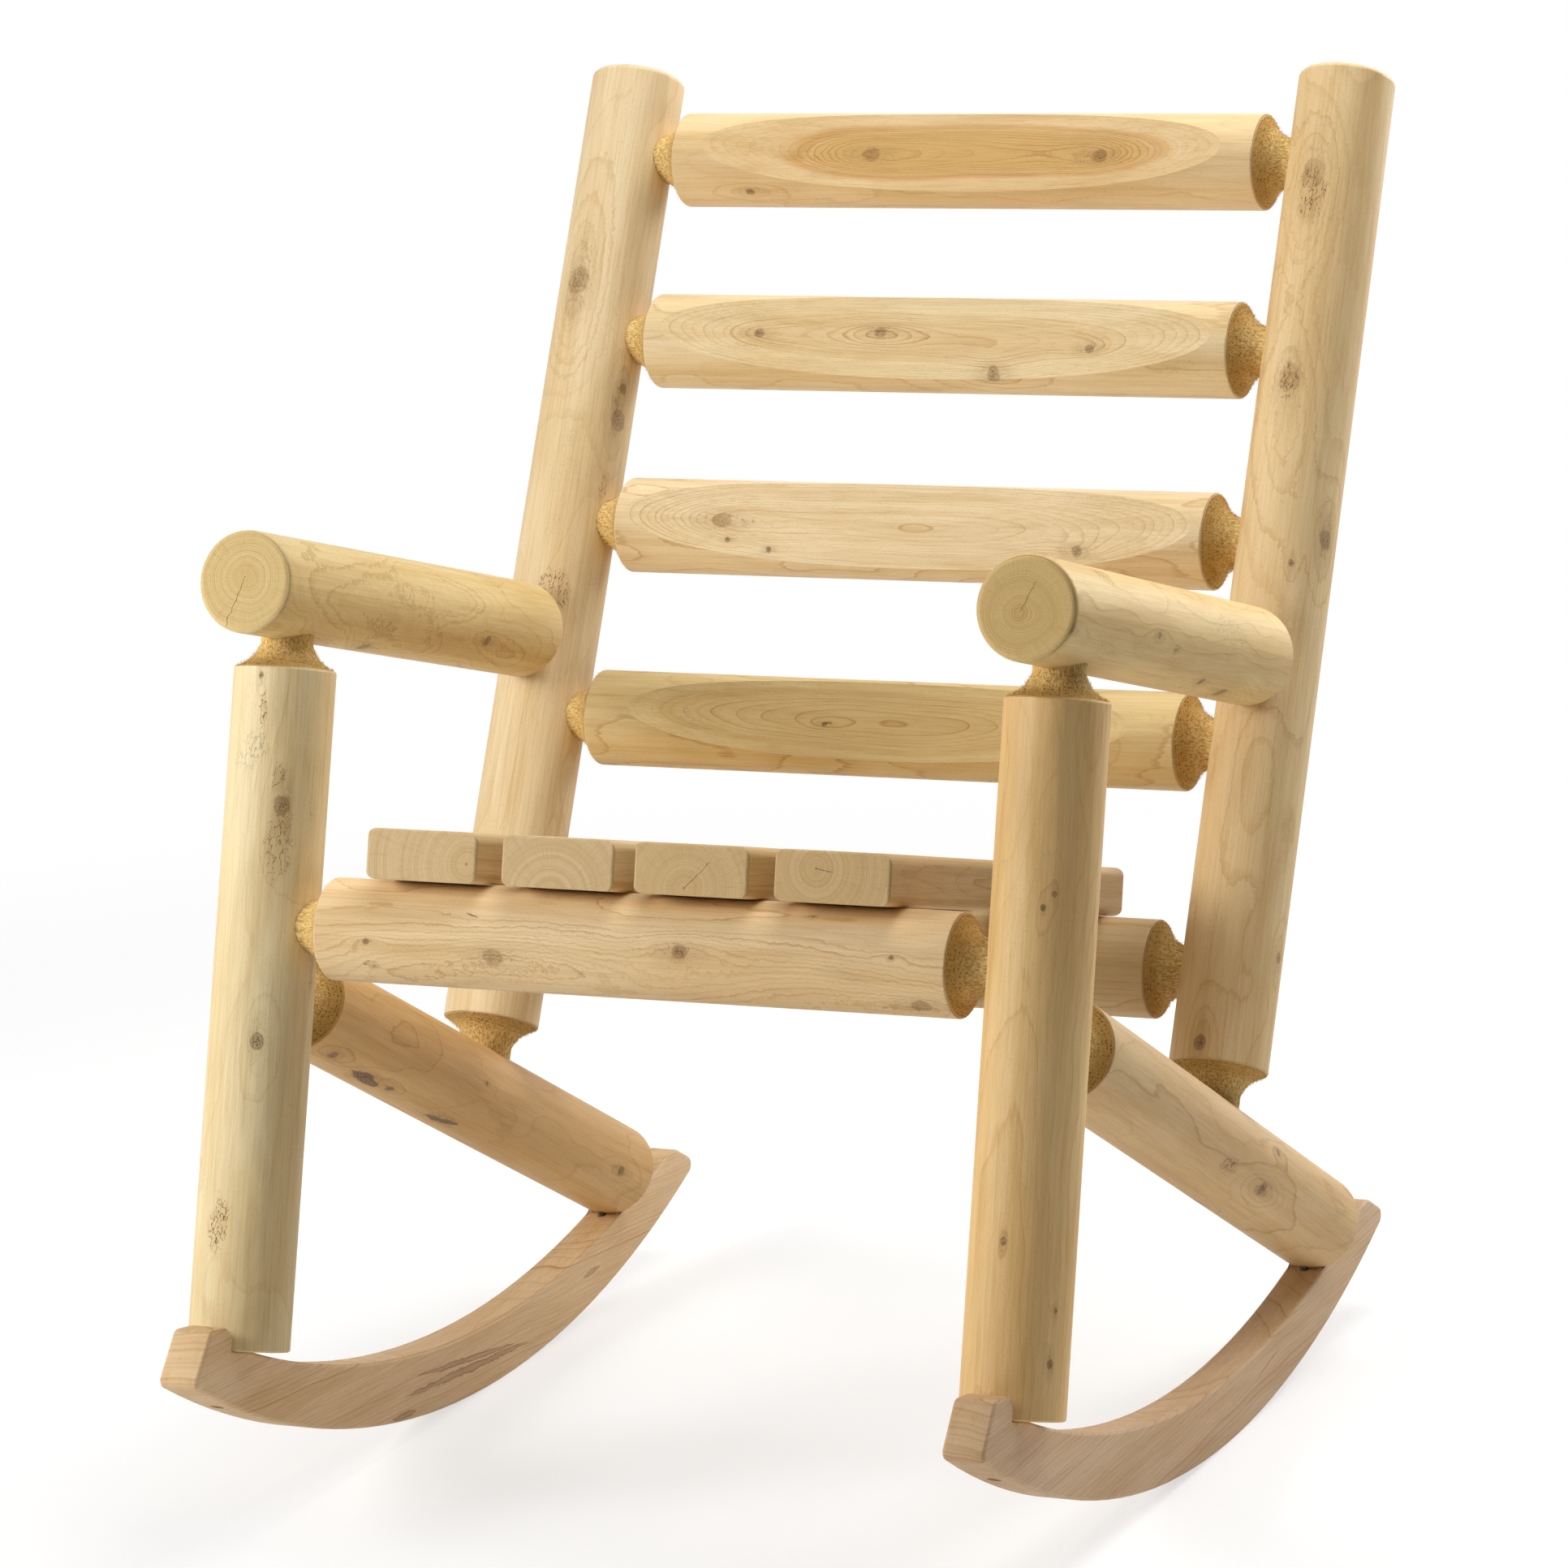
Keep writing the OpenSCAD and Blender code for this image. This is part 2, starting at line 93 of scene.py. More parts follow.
class Graph:
    """Adds nodes to a tree and joins them."""

    def __init__(self, tree):
        self.tree = tree

    def feed(self, socket, value):
        if isinstance(value, bpy.types.NodeSocket):
            self.tree.links.new(value, socket)
        elif value is not None:
            socket.default_value = value

    def add(self, kind, inputs=None, out=0, **settings):
        made = self.tree.nodes.new(kind)
        for name, value in settings.items():
            setattr(made, name, value)
        for key, value in (inputs or {}).items():
            self.feed(made.inputs[key], value)
        return made.outputs[out]

    def calc(self, operation, *values, clamp=False):
        return self.add("ShaderNodeMath", dict(enumerate(values)), operation=operation, use_clamp=clamp)

    def times(self, a, b):
        return self.calc("MULTIPLY", a, b)

    def plus(self, a, b):
        return self.calc("ADD", a, b)

    def minus(self, a, b):
        return self.calc("SUBTRACT", a, b)

    def scaled(self, vector, x, y, z):
        return self.add("ShaderNodeVectorMath", {0: vector, 1: (x, y, z)}, operation="MULTIPLY")

    def split(self, vector):
        made = self.tree.nodes.new("ShaderNodeSeparateXYZ")
        self.feed(made.inputs[0], vector)
        return made.outputs

    def step(self, value, low, high):
        """0 below low, 1 above high and smooth between."""
        return self.add("ShaderNodeMapRange", {"Value": value, "From Min": low, "From Max": high},
                        interpolation_type="SMOOTHSTEP")

    def noise(self, vector, detail=2.0, rough=0.5, out=0):
        return self.add("ShaderNodeTexNoise", {"Vector": vector, "Scale": 1.0, "Detail": detail,
                                               "Roughness": rough}, out=out)

    def blend(self, amount, a, b):
        return self.add("ShaderNodeMix", {0: amount, 6: a, 7: b}, out=2, data_type="RGBA")

    def blend_value(self, amount, a, b):
        return self.add("ShaderNodeMix", {0: amount, 2: a, 3: b}, data_type="FLOAT")

    def tint(self, amount, colour, by):
        return self.add("ShaderNodeMix", {0: amount, 6: colour, 7: by}, out=2, data_type="RGBA",
                        blend_type="MULTIPLY")


def new_group(name, inputs, outputs):
    """An empty shader group, as its graph, its inputs and its outputs, with the inputs' usual values."""
    tree = bpy.data.node_groups.new(name, "ShaderNodeTree")
    kinds = {3: "NodeSocketVector", 4: "NodeSocketColor"}
    for label, value in inputs.items():
        kind = kinds[len(value)] if isinstance(value, tuple) else "NodeSocketFloat"
        tree.interface.new_socket(label, in_out="INPUT", socket_type=kind).default_value = value
    for label, kind in outputs.items():
        tree.interface.new_socket(label, in_out="OUTPUT", socket_type=kind)
    return Graph(tree), tree.nodes.new("NodeGroupInput").outputs, tree.nodes.new("NodeGroupOutput").inputs


def colour(red, green, blue):
    """A colour as a screen shows it, 0 to 255, turned into the light that it stands for."""
    parts = [(c / 255 / 12.92 if c <= 10 else ((c / 255 + 0.055) / 1.055) ** 2.4) for c in (red, green, blue)]
    return (*parts, 1.0)


print("helper ready")

# %% [markdown]
# ## Growth rings
# A tree lays one ring on another, like nested cones. Where a saw or a lathe cuts them, they show:
# as circles on the end of a log, as long lines along it and as ovals in a hollow. So the rings are
# worked out in space, from the distance to the pith, and every cut then agrees with the next.
# Slow noise bends the pith and ripples the rings, and each ring gets a strength of its own. The
# group gives the soft shade towards a ring's edge and the thin line of the edge itself, because a
# sawn end shows the shade, while a turned side mostly shows the line. Where a knot crowds the rings,
# the line takes more of each ring, so that it stays wide enough to see.

# %% Rings group


def make_rings_group():
    g, given, result = new_group("growth_rings", {
        "Vector": (0.0, 0.0, 0.0), "Seed": 0.0, "Pith X": 0.0, "Pith Y": 0.0, "Drift X": 0.0,
        "Drift Y": 0.0, "Ring Width": 1.6, "Bend": 0.0, "Ripple": 3.0},
        {"Late Wood": "NodeSocketFloat", "Ring Line": "NodeSocketFloat", "Radius": "NodeSocketFloat",
         "Turn": "NodeSocketFloat"})
    seed = g.times(given["Seed"], 37.3)
    shifted = g.add("ShaderNodeVectorMath", {0: given["Vector"], 1: seed}, operation="ADD")
    x, y, z = g.split(given["Vector"])
    sway = g.split(g.noise(g.scaled(shifted, 0.004, 0.004, 0.0045), 1.0, out=1))
    from_pith = []
    for across, pith, drift, wander in ((x, "Pith X", "Drift X", sway[0]), (y, "Pith Y", "Drift Y", sway[1])):
        axis = g.plus(given[pith], g.times(given[drift], z))
        bent = g.plus(axis, g.times(g.minus(wander, 0.5), 9.0))
        from_pith.append(g.minus(across, bent))
    turn = g.calc("ARCTAN2", from_pith[1], from_pith[0])
    flat = g.add("ShaderNodeCombineXYZ", {0: from_pith[0], 1: from_pith[1], 2: 0.0})
    distance = g.add("ShaderNodeVectorMath", {0: flat}, out="Value", operation="LENGTH")
    ripple = g.minus(g.noise(g.scaled(shifted, 0.034, 0.034, 0.014), 1.0, 0.4), 0.5)
    fine = g.minus(g.noise(g.scaled(shifted, 0.2, 0.2, 0.03), 1.0), 0.5)
    waves = g.plus(g.times(ripple, given["Ripple"]), g.times(fine, 0.2))
    radius = g.plus(g.minus(distance, given["Bend"]), waves)
    pace = g.times(g.noise(g.add("ShaderNodeCombineXYZ", {0: g.times(radius, 0.16), 1: seed})), 2.2)
    count = g.plus(g.calc("DIVIDE", radius, given["Ring Width"]), pace)
    phase = g.calc("FRACT", count)
    own = g.add("ShaderNodeTexWhiteNoise", {"W": g.plus(g.calc("FLOOR", count), seed)},
                noise_dimensions="1D")
    strength = g.plus(g.times(own, 0.8), 0.2)
    past = g.minus(1.0, g.step(phase, 0.95, 1.0))
    line_starts = g.minus(0.86, g.times(g.step(given["Bend"], 0.2, 1.5), 0.26))
    g.feed(result["Late Wood"], g.times(g.times(g.step(phase, 0.35, 0.92), past), strength))
    g.feed(result["Ring Line"], g.times(g.times(g.step(phase, line_starts, 0.95), past), strength))
    g.feed(result["Radius"], radius)
    g.feed(result["Turn"], turn)
    return g.tree


RINGS = make_rings_group()
print("group:", RINGS.name, len(RINGS.nodes), "nodes")

# %% [markdown]
# ## Knots
# A knot is a branch that the trunk grew round. It runs from the pith outwards, is grey brown and
# mottled, with dark marks where it checked, and it pushes the trunk's rings out, so that they
# close round it as ovals. The wood above and below it is a little grey. One group adds one knot,
# and groups in a row add them up. Each is placed by how far along the log it sits and how far
# round.

# %% Knot group


def make_knot_group():
    g, given, result = new_group("branch_knot", {
        "Vector": (0.0, 0.0, 0.0), "Log Radius": 38.1, "Along": 0.0, "Turn": 0.0, "Size": 6.0,
        "Dark": 0.6, "Bend": 0.0, "Knot": 0.0, "Tone": 0.0, "Halo": 0.0},
        {"Bend": "NodeSocketFloat", "Knot": "NodeSocketFloat", "Tone": "NodeSocketFloat",
         "Halo": "NodeSocketFloat"})
    x, y, z = g.split(given["Vector"])
    cos = g.calc("COSINE", given["Turn"])
    sin = g.calc("SINE", given["Turn"])
    out = g.minus(g.plus(g.times(x, cos), g.times(y, sin)), given["Log Radius"])
    side = g.minus(g.times(y, cos), g.times(x, sin))
    climb = g.times(g.minus(g.minus(z, given["Along"]), g.times(out, 0.18)), 0.8)
    reach = g.calc("SQRT", g.plus(g.times(side, side), g.times(climb, climb)))
    uneven = g.minus(g.noise(g.scaled(given["Vector"], 0.17, 0.17, 0.17), 2.0, 0.5), 0.5)
    share = g.plus(g.calc("DIVIDE", reach, given["Size"]), g.times(uneven, 0.55))
    here = g.step(out, -36.0, -26.0)
    core = g.times(here, g.minus(1.0, g.step(share, 0.7, 1.12)))
    clear = g.plus(0.05, g.times(given["Dark"], 1.8))
    tall = g.times(climb, 0.42)
    oval = g.calc("DIVIDE", g.calc("SQRT", g.plus(g.times(side, side), g.times(tall, tall))), given["Size"])
    oval = g.plus(oval, g.times(uneven, 0.5))
    fall = g.calc("EXPONENT", g.times(g.times(oval, oval), -0.17))
    swell = g.times(g.times(here, fall), g.calc("MINIMUM", given["Size"], 6.5))
    mottle = g.noise(g.scaled(given["Vector"], 0.75, 0.75, 0.75), 3.0, 0.75)
    rings = g.step(g.calc("FRACT", g.plus(g.times(share, 3.1), mottle)), 0.3, 1.0)
    rim = g.times(g.times(g.step(share, 0.6, 0.92), g.minus(1.0, g.step(share, 0.98, 1.2))), 0.55)
    mark = g.times(g.step(mottle, 0.49, 0.58), g.minus(1.0, g.step(share, 0.35, 0.8)))
    tone = g.plus(g.plus(g.times(rings, 0.2), rim), g.plus(g.times(mark, 0.95), g.times(mottle, 0.3)))
    tone = g.times(tone, given["Dark"])
    halo = g.times(g.times(here, g.minus(1.0, g.step(oval, 0.5, 2.0))), g.calc("MINIMUM", clear, 1.0))
    g.feed(result["Bend"], g.plus(given["Bend"], swell))
    g.feed(result["Knot"], g.calc("MAXIMUM", given["Knot"], g.calc("MINIMUM", core, clear)))
    g.feed(result["Tone"], g.blend_value(core, given["Tone"], tone))
    g.feed(result["Halo"], g.calc("MAXIMUM", given["Halo"], halo))
    return g.tree


KNOT = make_knot_group()
print("group:", KNOT.name, len(KNOT.nodes), "nodes")

# %% [markdown]
# ## Pitch streaks
# Here and there a brown streak lies along the grain, where bark or pitch grew in. It is ragged
# and pointed at both ends. The group draws one in the plane of the surface, from two coordinates:
# along the grain and across it.

# %% Streak group


def make_streak_group():
    g, given, result = new_group("pitch_streak", {
        "Vector": (0.0, 0.0, 0.0), "Along": 0.0, "Across": 0.0, "At Along": 0.0, "At Across": 0.0,
        "Slope": 0.0, "Length": 30.0, "Width": 2.0, "Fill": 0.7, "Streak": 0.0}, {"Streak": "NodeSocketFloat"})
    along = g.minus(given["Along"], given["At Along"])
    ragged = g.minus(g.noise(g.scaled(given["Vector"], 0.12, 0.12, 0.05), 3.0, 0.6), 0.5)
    across = g.minus(g.minus(given["Across"], given["At Across"]), g.times(along, given["Slope"]))
    across = g.calc("ABSOLUTE", g.plus(across, g.times(ragged, g.times(given["Width"], 1.8))))
    point = g.minus(1.0, g.calc("POWER", g.calc("DIVIDE", g.times(g.calc("ABSOLUTE", along), 2.0),
                                                given["Length"]), 2.0))
    share = g.calc("DIVIDE", across, g.times(given["Width"], g.calc("MAXIMUM", point, 0.001)))
    rim = g.plus(g.times(g.step(share, 0.3, 0.7), g.minus(1.0, given["Fill"])), given["Fill"])
    mark = g.times(g.times(g.minus(1.0, g.step(share, 0.55, 0.95)), g.step(point, 0.0, 0.3)), rim)
    g.feed(result["Streak"], g.calc("MAXIMUM", given["Streak"], mark))
    return g.tree


STREAK = make_streak_group()
print("group:", STREAK.name, len(STREAK.nodes), "nodes")

# %% [markdown]
# ## Torn patches
# The cutter that rounds the logs lifts the fibres where they run uphill, mostly below a knot. Such
# a patch is an oval full of short worm-like tears. This group only says where the patch is; the
# surface group further down fills it with tears.

# %% Torn patch group


def make_patch_group():
    g, given, result = new_group("torn_patch", {
        "Vector": (0.0, 0.0, 0.0), "Along": 0.0, "Across": 0.0, "At Along": 0.0, "At Across": 0.0,
        "Length": 30.0, "Width": 12.0, "Patch": 0.0}, {"Patch": "NodeSocketFloat"})
    along = g.calc("DIVIDE", g.minus(given["Along"], given["At Along"]), given["Length"])
    across = g.calc("DIVIDE", g.minus(given["Across"], given["At Across"]), given["Width"])
    reach = g.times(g.calc("SQRT", g.plus(g.times(along, along), g.times(across, across))), 2.0)
    uneven = g.noise(g.scaled(given["Vector"], 0.09, 0.09, 0.05), 2.0)
    patch = g.minus(1.0, g.step(g.plus(reach, uneven), 0.9, 1.5))
    g.feed(result["Patch"], g.calc("MAXIMUM", given["Patch"], patch))
    return g.tree


PATCH = make_patch_group()
print("group:", PATCH.name, len(PATCH.nodes), "nodes")

# %% [markdown]
# ## The cut surface
# The same wood looks different where it is cut along the grain, across it, or torn. Along the
# grain it is smooth and pale, with faint fibres, thin ring lines and a few worm-like tears, mostly
# round the knots. A sawn end drinks the light, so it is darker, and its rings are plain to see.
# The tenon cutter tears its shoulders, which turn golden brown and rough, with rows of dark
# specks. The group mixes these three by masks. Shades are given as what they leave of the wood's
# own red, green and blue.

# %% Surface group
PALER = (1.03, 1.05, 1.08, 1)
DEEPER = (0.95, 0.915, 0.85, 1)
BAND_SHADE = (0.90, 0.855, 0.78, 1)
RING_SHADE = (0.92, 0.865, 0.78, 1)
RING_LINE = (0.68, 0.52, 0.34, 1)
HEART_LINE = (0.80, 0.64, 0.40, 1)
FIBRE_SHADE = (0.90, 0.85, 0.77, 1)
PORE_SHADE = (0.70, 0.58, 0.46, 1)
TEAR_SHADE = (0.52, 0.38, 0.26, 1)
TORN_SHADE = (0.88, 0.82, 0.74, 1)
HALO_SHADE = (0.84, 0.81, 0.76, 1)
KNOT_SHADE = (0.80, 0.74, 0.64, 1)
# Narrow sides of boards: a browner sawn tone, and on the slats painted shade as well.
EDGE_TONE_AND_SHADE = (0.78, 0.73, 0.60, 1)
END_SHADE = (0.97, 0.945, 0.91, 1)
END_RING = (0.78, 0.70, 0.585, 1)
END_BAND = (0.93, 0.90, 0.85, 1)
RAY_SHADE = (0.90, 0.86, 0.80, 1)
CHECK_SHADE = (0.42, 0.33, 0.24, 1)
HOLE_SHADE = (0.46, 0.34, 0.19, 1)
KNOT_DARK = colour(98, 70, 46)
TORN_PALE = colour(242, 210, 142)
TORN_DEEP = colour(200, 159, 82)


def make_surface_group():
    g, given, result = new_group("cut_cedar", {
        "Vector": (0.0, 0.0, 0.0), "Seed": 0.0, "Late Wood": 0.0, "Ring Line": 0.0, "Radius": 30.0,
        "Turn": 0.0, "Knot": 0.0, "Knot Tone": 0.0, "Halo": 0.0, "Streak": 0.0, "Patch": 0.0, "Edge Tone And Shade": 0.0,
        "End": 0.0, "Neck": 0.0, "Rim": 0.0, "Cut Across": 0.0, "Heart Radius": 14.0, "Heart": 0.5, "Grain": 0.5,
        "Torn": 0.2, "Lumps": 1.0, "Check Turn": 9.0, "Check Length": 30.0,
        "Wood": colour(232, 202, 154), "Heart Wood": colour(210, 166, 104),
        "Streak Colour": colour(84, 58, 36)},
        {"Color": "NodeSocketColor", "Roughness": "NodeSocketFloat", "Height": "NodeSocketFloat"})
    seed = g.times(given["Seed"], 53.7)
    v = g.add("ShaderNodeVectorMath", {0: given["Vector"], 1: seed}, operation="ADD")
    drift = g.noise(g.scaled(v, 0.028, 0.028, 0.005), 2.0, 0.5)
    wood = g.blend(g.step(drift, 0.36, 0.64), g.tint(1.0, given["Wood"], PALER),
                   g.tint(1.0, given["Wood"], DEEPER))
    band = g.noise(g.scaled(v, 0.13, 0.13, 0.006), 3.0, 0.6)
    wood = g.tint(g.times(g.step(band, 0.42, 0.7), 0.8), wood, BAND_SHADE)
    past_heart = g.minus(g.plus(given["Radius"], g.times(g.minus(drift, 0.5), 12.0)), given["Heart Radius"])
    inner = g.minus(1.0, g.step(past_heart, -3.0, 1.5))
    outline = g.times(g.step(past_heart, -1.6, 0.6), g.minus(1.0, g.step(past_heart, 0.8, 4.5)))
    wood = g.blend(g.times(inner, given["Heart"]), wood, given["Heart Wood"])
    wood = g.tint(g.times(outline, g.times(given["Heart"], 0.9)), wood, HEART_LINE)
    grain = g.times(given["Grain"], g.plus(1.0, g.times(inner, given["Heart"])))
    wood = g.tint(g.times(given["Late Wood"], grain), wood, RING_SHADE)
    wood = g.tint(g.times(given["Ring Line"], grain), wood, RING_LINE)
    fibre = g.noise(g.scaled(v, 0.8, 0.8, 0.018), 3.0, 0.7)
    wood = g.tint(g.step(fibre, 0.42, 0.72), wood, FIBRE_SHADE)
    grit = g.noise(g.scaled(v, 1.1, 1.1, 0.45), 3.0, 0.75)
    wood = g.tint(g.times(g.step(grit, 0.55, 0.7), 0.4), wood, PORE_SHADE)
    # The narrow sides of boards turn darker here: a browner sawn tone, and on the slats painted shade as well, for
    # the little light that falls between them.
    wood = g.tint(given["Edge Tone And Shade"], wood, EDGE_TONE_AND_SHADE)
    curl = g.calc("ABSOLUTE", g.minus(g.noise(g.scaled(v, 0.26, 0.26, 0.13), 2.0), 0.5))
    patch = g.step(g.noise(g.scaled(v, 0.02, 0.02, 0.012)), 0.58, 0.68)
    patch = g.calc("MAXIMUM", g.times(patch, given["Torn"]), g.times(given["Halo"], 0.4))
    patch = g.calc("MAXIMUM", patch, g.times(given["Patch"], 1.5))
    bits = g.step(grit, 0.42, 0.54)
    tear = g.times(g.times(g.minus(1.0, g.step(curl, 0.005, 0.025)), bits), patch)
    wood = g.tint(g.times(given["Halo"], 0.7), wood, HALO_SHADE)
    wood = g.tint(g.times(given["Patch"], 0.7), wood, TORN_SHADE)
    wood = g.tint(g.times(tear, 0.8), wood, TEAR_SHADE)
    knot = g.blend(given["Knot Tone"], g.tint(1.0, wood, KNOT_SHADE), KNOT_DARK)
    wood = g.blend(g.times(given["Knot"], 0.9), wood, knot)
    wood = g.blend(g.times(given["Streak"], 0.85), wood, given["Streak Colour"])
    lumps = g.noise(g.scaled(v, 0.035, 0.035, 0.016), 2.0, 0.5)
    side_height = g.plus(g.plus(g.times(fibre, 0.1), g.times(grit, 0.07)),
                         g.times(lumps, g.times(given["Lumps"], 1.6)))
    dent = g.plus(g.times(tear, 0.6), g.plus(g.times(given["Streak"], 0.3),
                                             g.times(g.times(given["Knot"], given["Knot Tone"]), 0.4)))
    side_height = g.minus(g.plus(side_height, g.times(given["Ring Line"], 0.05)), dent)

    speck = g.noise(g.scaled(v, 0.9, 0.9, 0.9), 2.0, 0.7)
    end = g.tint(1.0, given["Wood"], END_SHADE)
    end = g.tint(g.times(g.step(speck, 0.35, 0.7), 0.5), end, RAY_SHADE)
    end = g.tint(g.times(inner, 0.4), end, RING_SHADE)
    band = g.noise(g.add("ShaderNodeCombineXYZ", {0: g.times(given["Radius"], 0.3), 1: seed}), 1.0)
    end = g.tint(g.step(band, 0.42, 0.62), end, END_BAND)
    end = g.tint(g.times(given["Late Wood"], 0.8), end, END_RING)
    ray = g.noise(g.add("ShaderNodeCombineXYZ", {0: g.times(given["Turn"], 30.0),
                                                 1: g.times(given["Radius"], 0.05)}))
    end = g.tint(g.times(g.step(ray, 0.5, 0.72), 0.8), end, RAY_SHADE)
    wobble = g.times(g.minus(g.noise(g.scaled(v, 0.14, 0.14, 0.0)), 0.5), 0.25)
    off = g.minus(g.plus(given["Turn"], wobble), given["Check Turn"])
    width = g.times(g.calc("ABSOLUTE", off), given["Radius"])
    long_enough = g.minus(1.0, g.step(given["Radius"], g.minus(given["Check Length"], 6.0),
                                      given["Check Length"]))
    check = g.times(g.minus(1.0, g.step(width, 0.03, 0.3)), long_enough)
    pith = g.minus(1.0, g.step(given["Radius"], 0.5, 1.6))
    end = g.tint(g.calc("MAXIMUM", g.times(check, 0.8), g.times(pith, 0.6)), end, CHECK_SHADE)
    end_height = g.minus(g.times(speck, 0.15), g.plus(g.times(check, 0.5), g.times(given["Late Wood"], 0.1)))

    row = g.step(g.calc("SINE", g.times(given["Radius"], 2.4)), -0.1, 0.7)
    dots = g.add("ShaderNodeTexVoronoi", {"Vector": g.scaled(v, 0.5, 0.5, 0.3), "Scale": 1.0,
                                          "Randomness": 0.9})
    hole = g.times(g.minus(1.0, g.step(dots, 0.22, 0.5)), g.plus(g.times(row, 0.8), 0.2))
    coarse = g.noise(g.scaled(v, 0.6, 0.6, 0.26), 3.0, 0.75)
    hole = g.calc("MAXIMUM", hole, g.times(g.step(coarse, 0.54, 0.68), 0.55))
    hole = g.times(hole, g.plus(g.times(given["Cut Across"], 0.55), 0.45))
    deep = g.calc("MAXIMUM", g.step(coarse, 0.42, 0.6), g.times(given["Cut Across"], 0.75))
    neck = g.blend(deep, TORN_PALE, TORN_DEEP)
    neck = g.tint(g.times(hole, 0.85), neck, HOLE_SHADE)
    neck = g.tint(g.times(given["Rim"], 0.2), neck, TEAR_SHADE)
    neck_height = g.minus(g.times(coarse, 1.6), g.times(hole, 0.8))

    surface = g.blend(given["End"], wood, end)
    surface = g.blend(given["Neck"], surface, neck)
    height = g.blend_value(given["Neck"], g.blend_value(given["End"], side_height, end_height), neck_height)
    rough = g.plus(0.5, g.plus(g.times(given["End"], 0.22), g.times(given["Neck"], 0.28)))
    g.feed(result["Color"], surface)
    g.feed(result["Roughness"], g.plus(rough, g.times(fibre, 0.14)))
    g.feed(result["Height"], height)
    return g.tree


SURFACE = make_surface_group()
print("group:", SURFACE.name, len(SURFACE.nodes), "nodes")

# %% [markdown]
# ## Where each log lies
# A pattern that grows along a log needs the log's own axes. Legs, braces, posts and arms lie in
# upright planes, so one tilt from the vertical gives their direction; rails lie across, so the
# tilt says where their front faces. The middle of a log is the middle of its mesh.

# %% Log axes
LEG_TILT = 16.0
POST_TILT = LEG_TILT + 11.46
BRACE_TILT = LEG_TILT + 90 + 11.92
ARM_TILT = LEG_TILT + 90 - 0.72
SLAT_TILT = LEG_TILT + 90 - 1.83
LOG_RADIUS = 0.0381


def axes_of(tilt, across):
    """A log's own X, Y and Z as the columns of a matrix; Z runs along it."""
    lean = math.radians(tilt)
    if across:
        along = Vector((1, 0, 0))
        first = Vector((0, -math.cos(lean), math.sin(lean)))
    else:
        along = Vector((0, math.sin(lean), math.cos(lean)))
        first = Vector((1, 0, 0))
    return Matrix((first, along.cross(first), along)).transposed()


def spans(name, axes):
    """Lowest and highest place of a piece along its own three axes."""
    points = np.array([v.co[:] for v in nodes[name].data.vertices]) @ np.array(axes)
    return points.min(0), points.max(0)


def place_of(name, tilt, across=False):
    """Middle of a piece, its axes and its half length."""
    axes = axes_of(tilt, across)
    low, high = spans(name, axes)
    middle = (low + high) / 2
    if across:
        middle[0] = low[0] + LOG_RADIUS
    return axes @ Vector(middle), axes, (high[2] - low[2]) / 2


print("left post:", place_of("back_post_left", POST_TILT)[0])

# %% [markdown]
# ## Putting the wood together
# Each piece gets a material of its own from the same groups, turned to its own axes, so no two
# logs look alike. Masks say which faces are sawn ends and which stretch is the torn tenon.

# %% Wood material
ANYWHERE = (-1e4, 1e4)
RIM_MM = 1.6


def chain(tree, group, rows, fixed, carried):
    """Places the same group once for each row, each adding to what the one before it found."""
    for row in rows:
        made = tree.nodes.new("ShaderNodeGroup")
        made.node_tree = group
        for label, value in {**fixed, **row, **carried}.items():
            Graph(tree).feed(made.inputs[label], value)
        carried = {label: made.outputs[label] for label in carried}
    return carried


def shine_of(shader):
    """Bare wood reflects only a little."""
    shader.inputs["Specular IOR Level"].default_value = 0.3


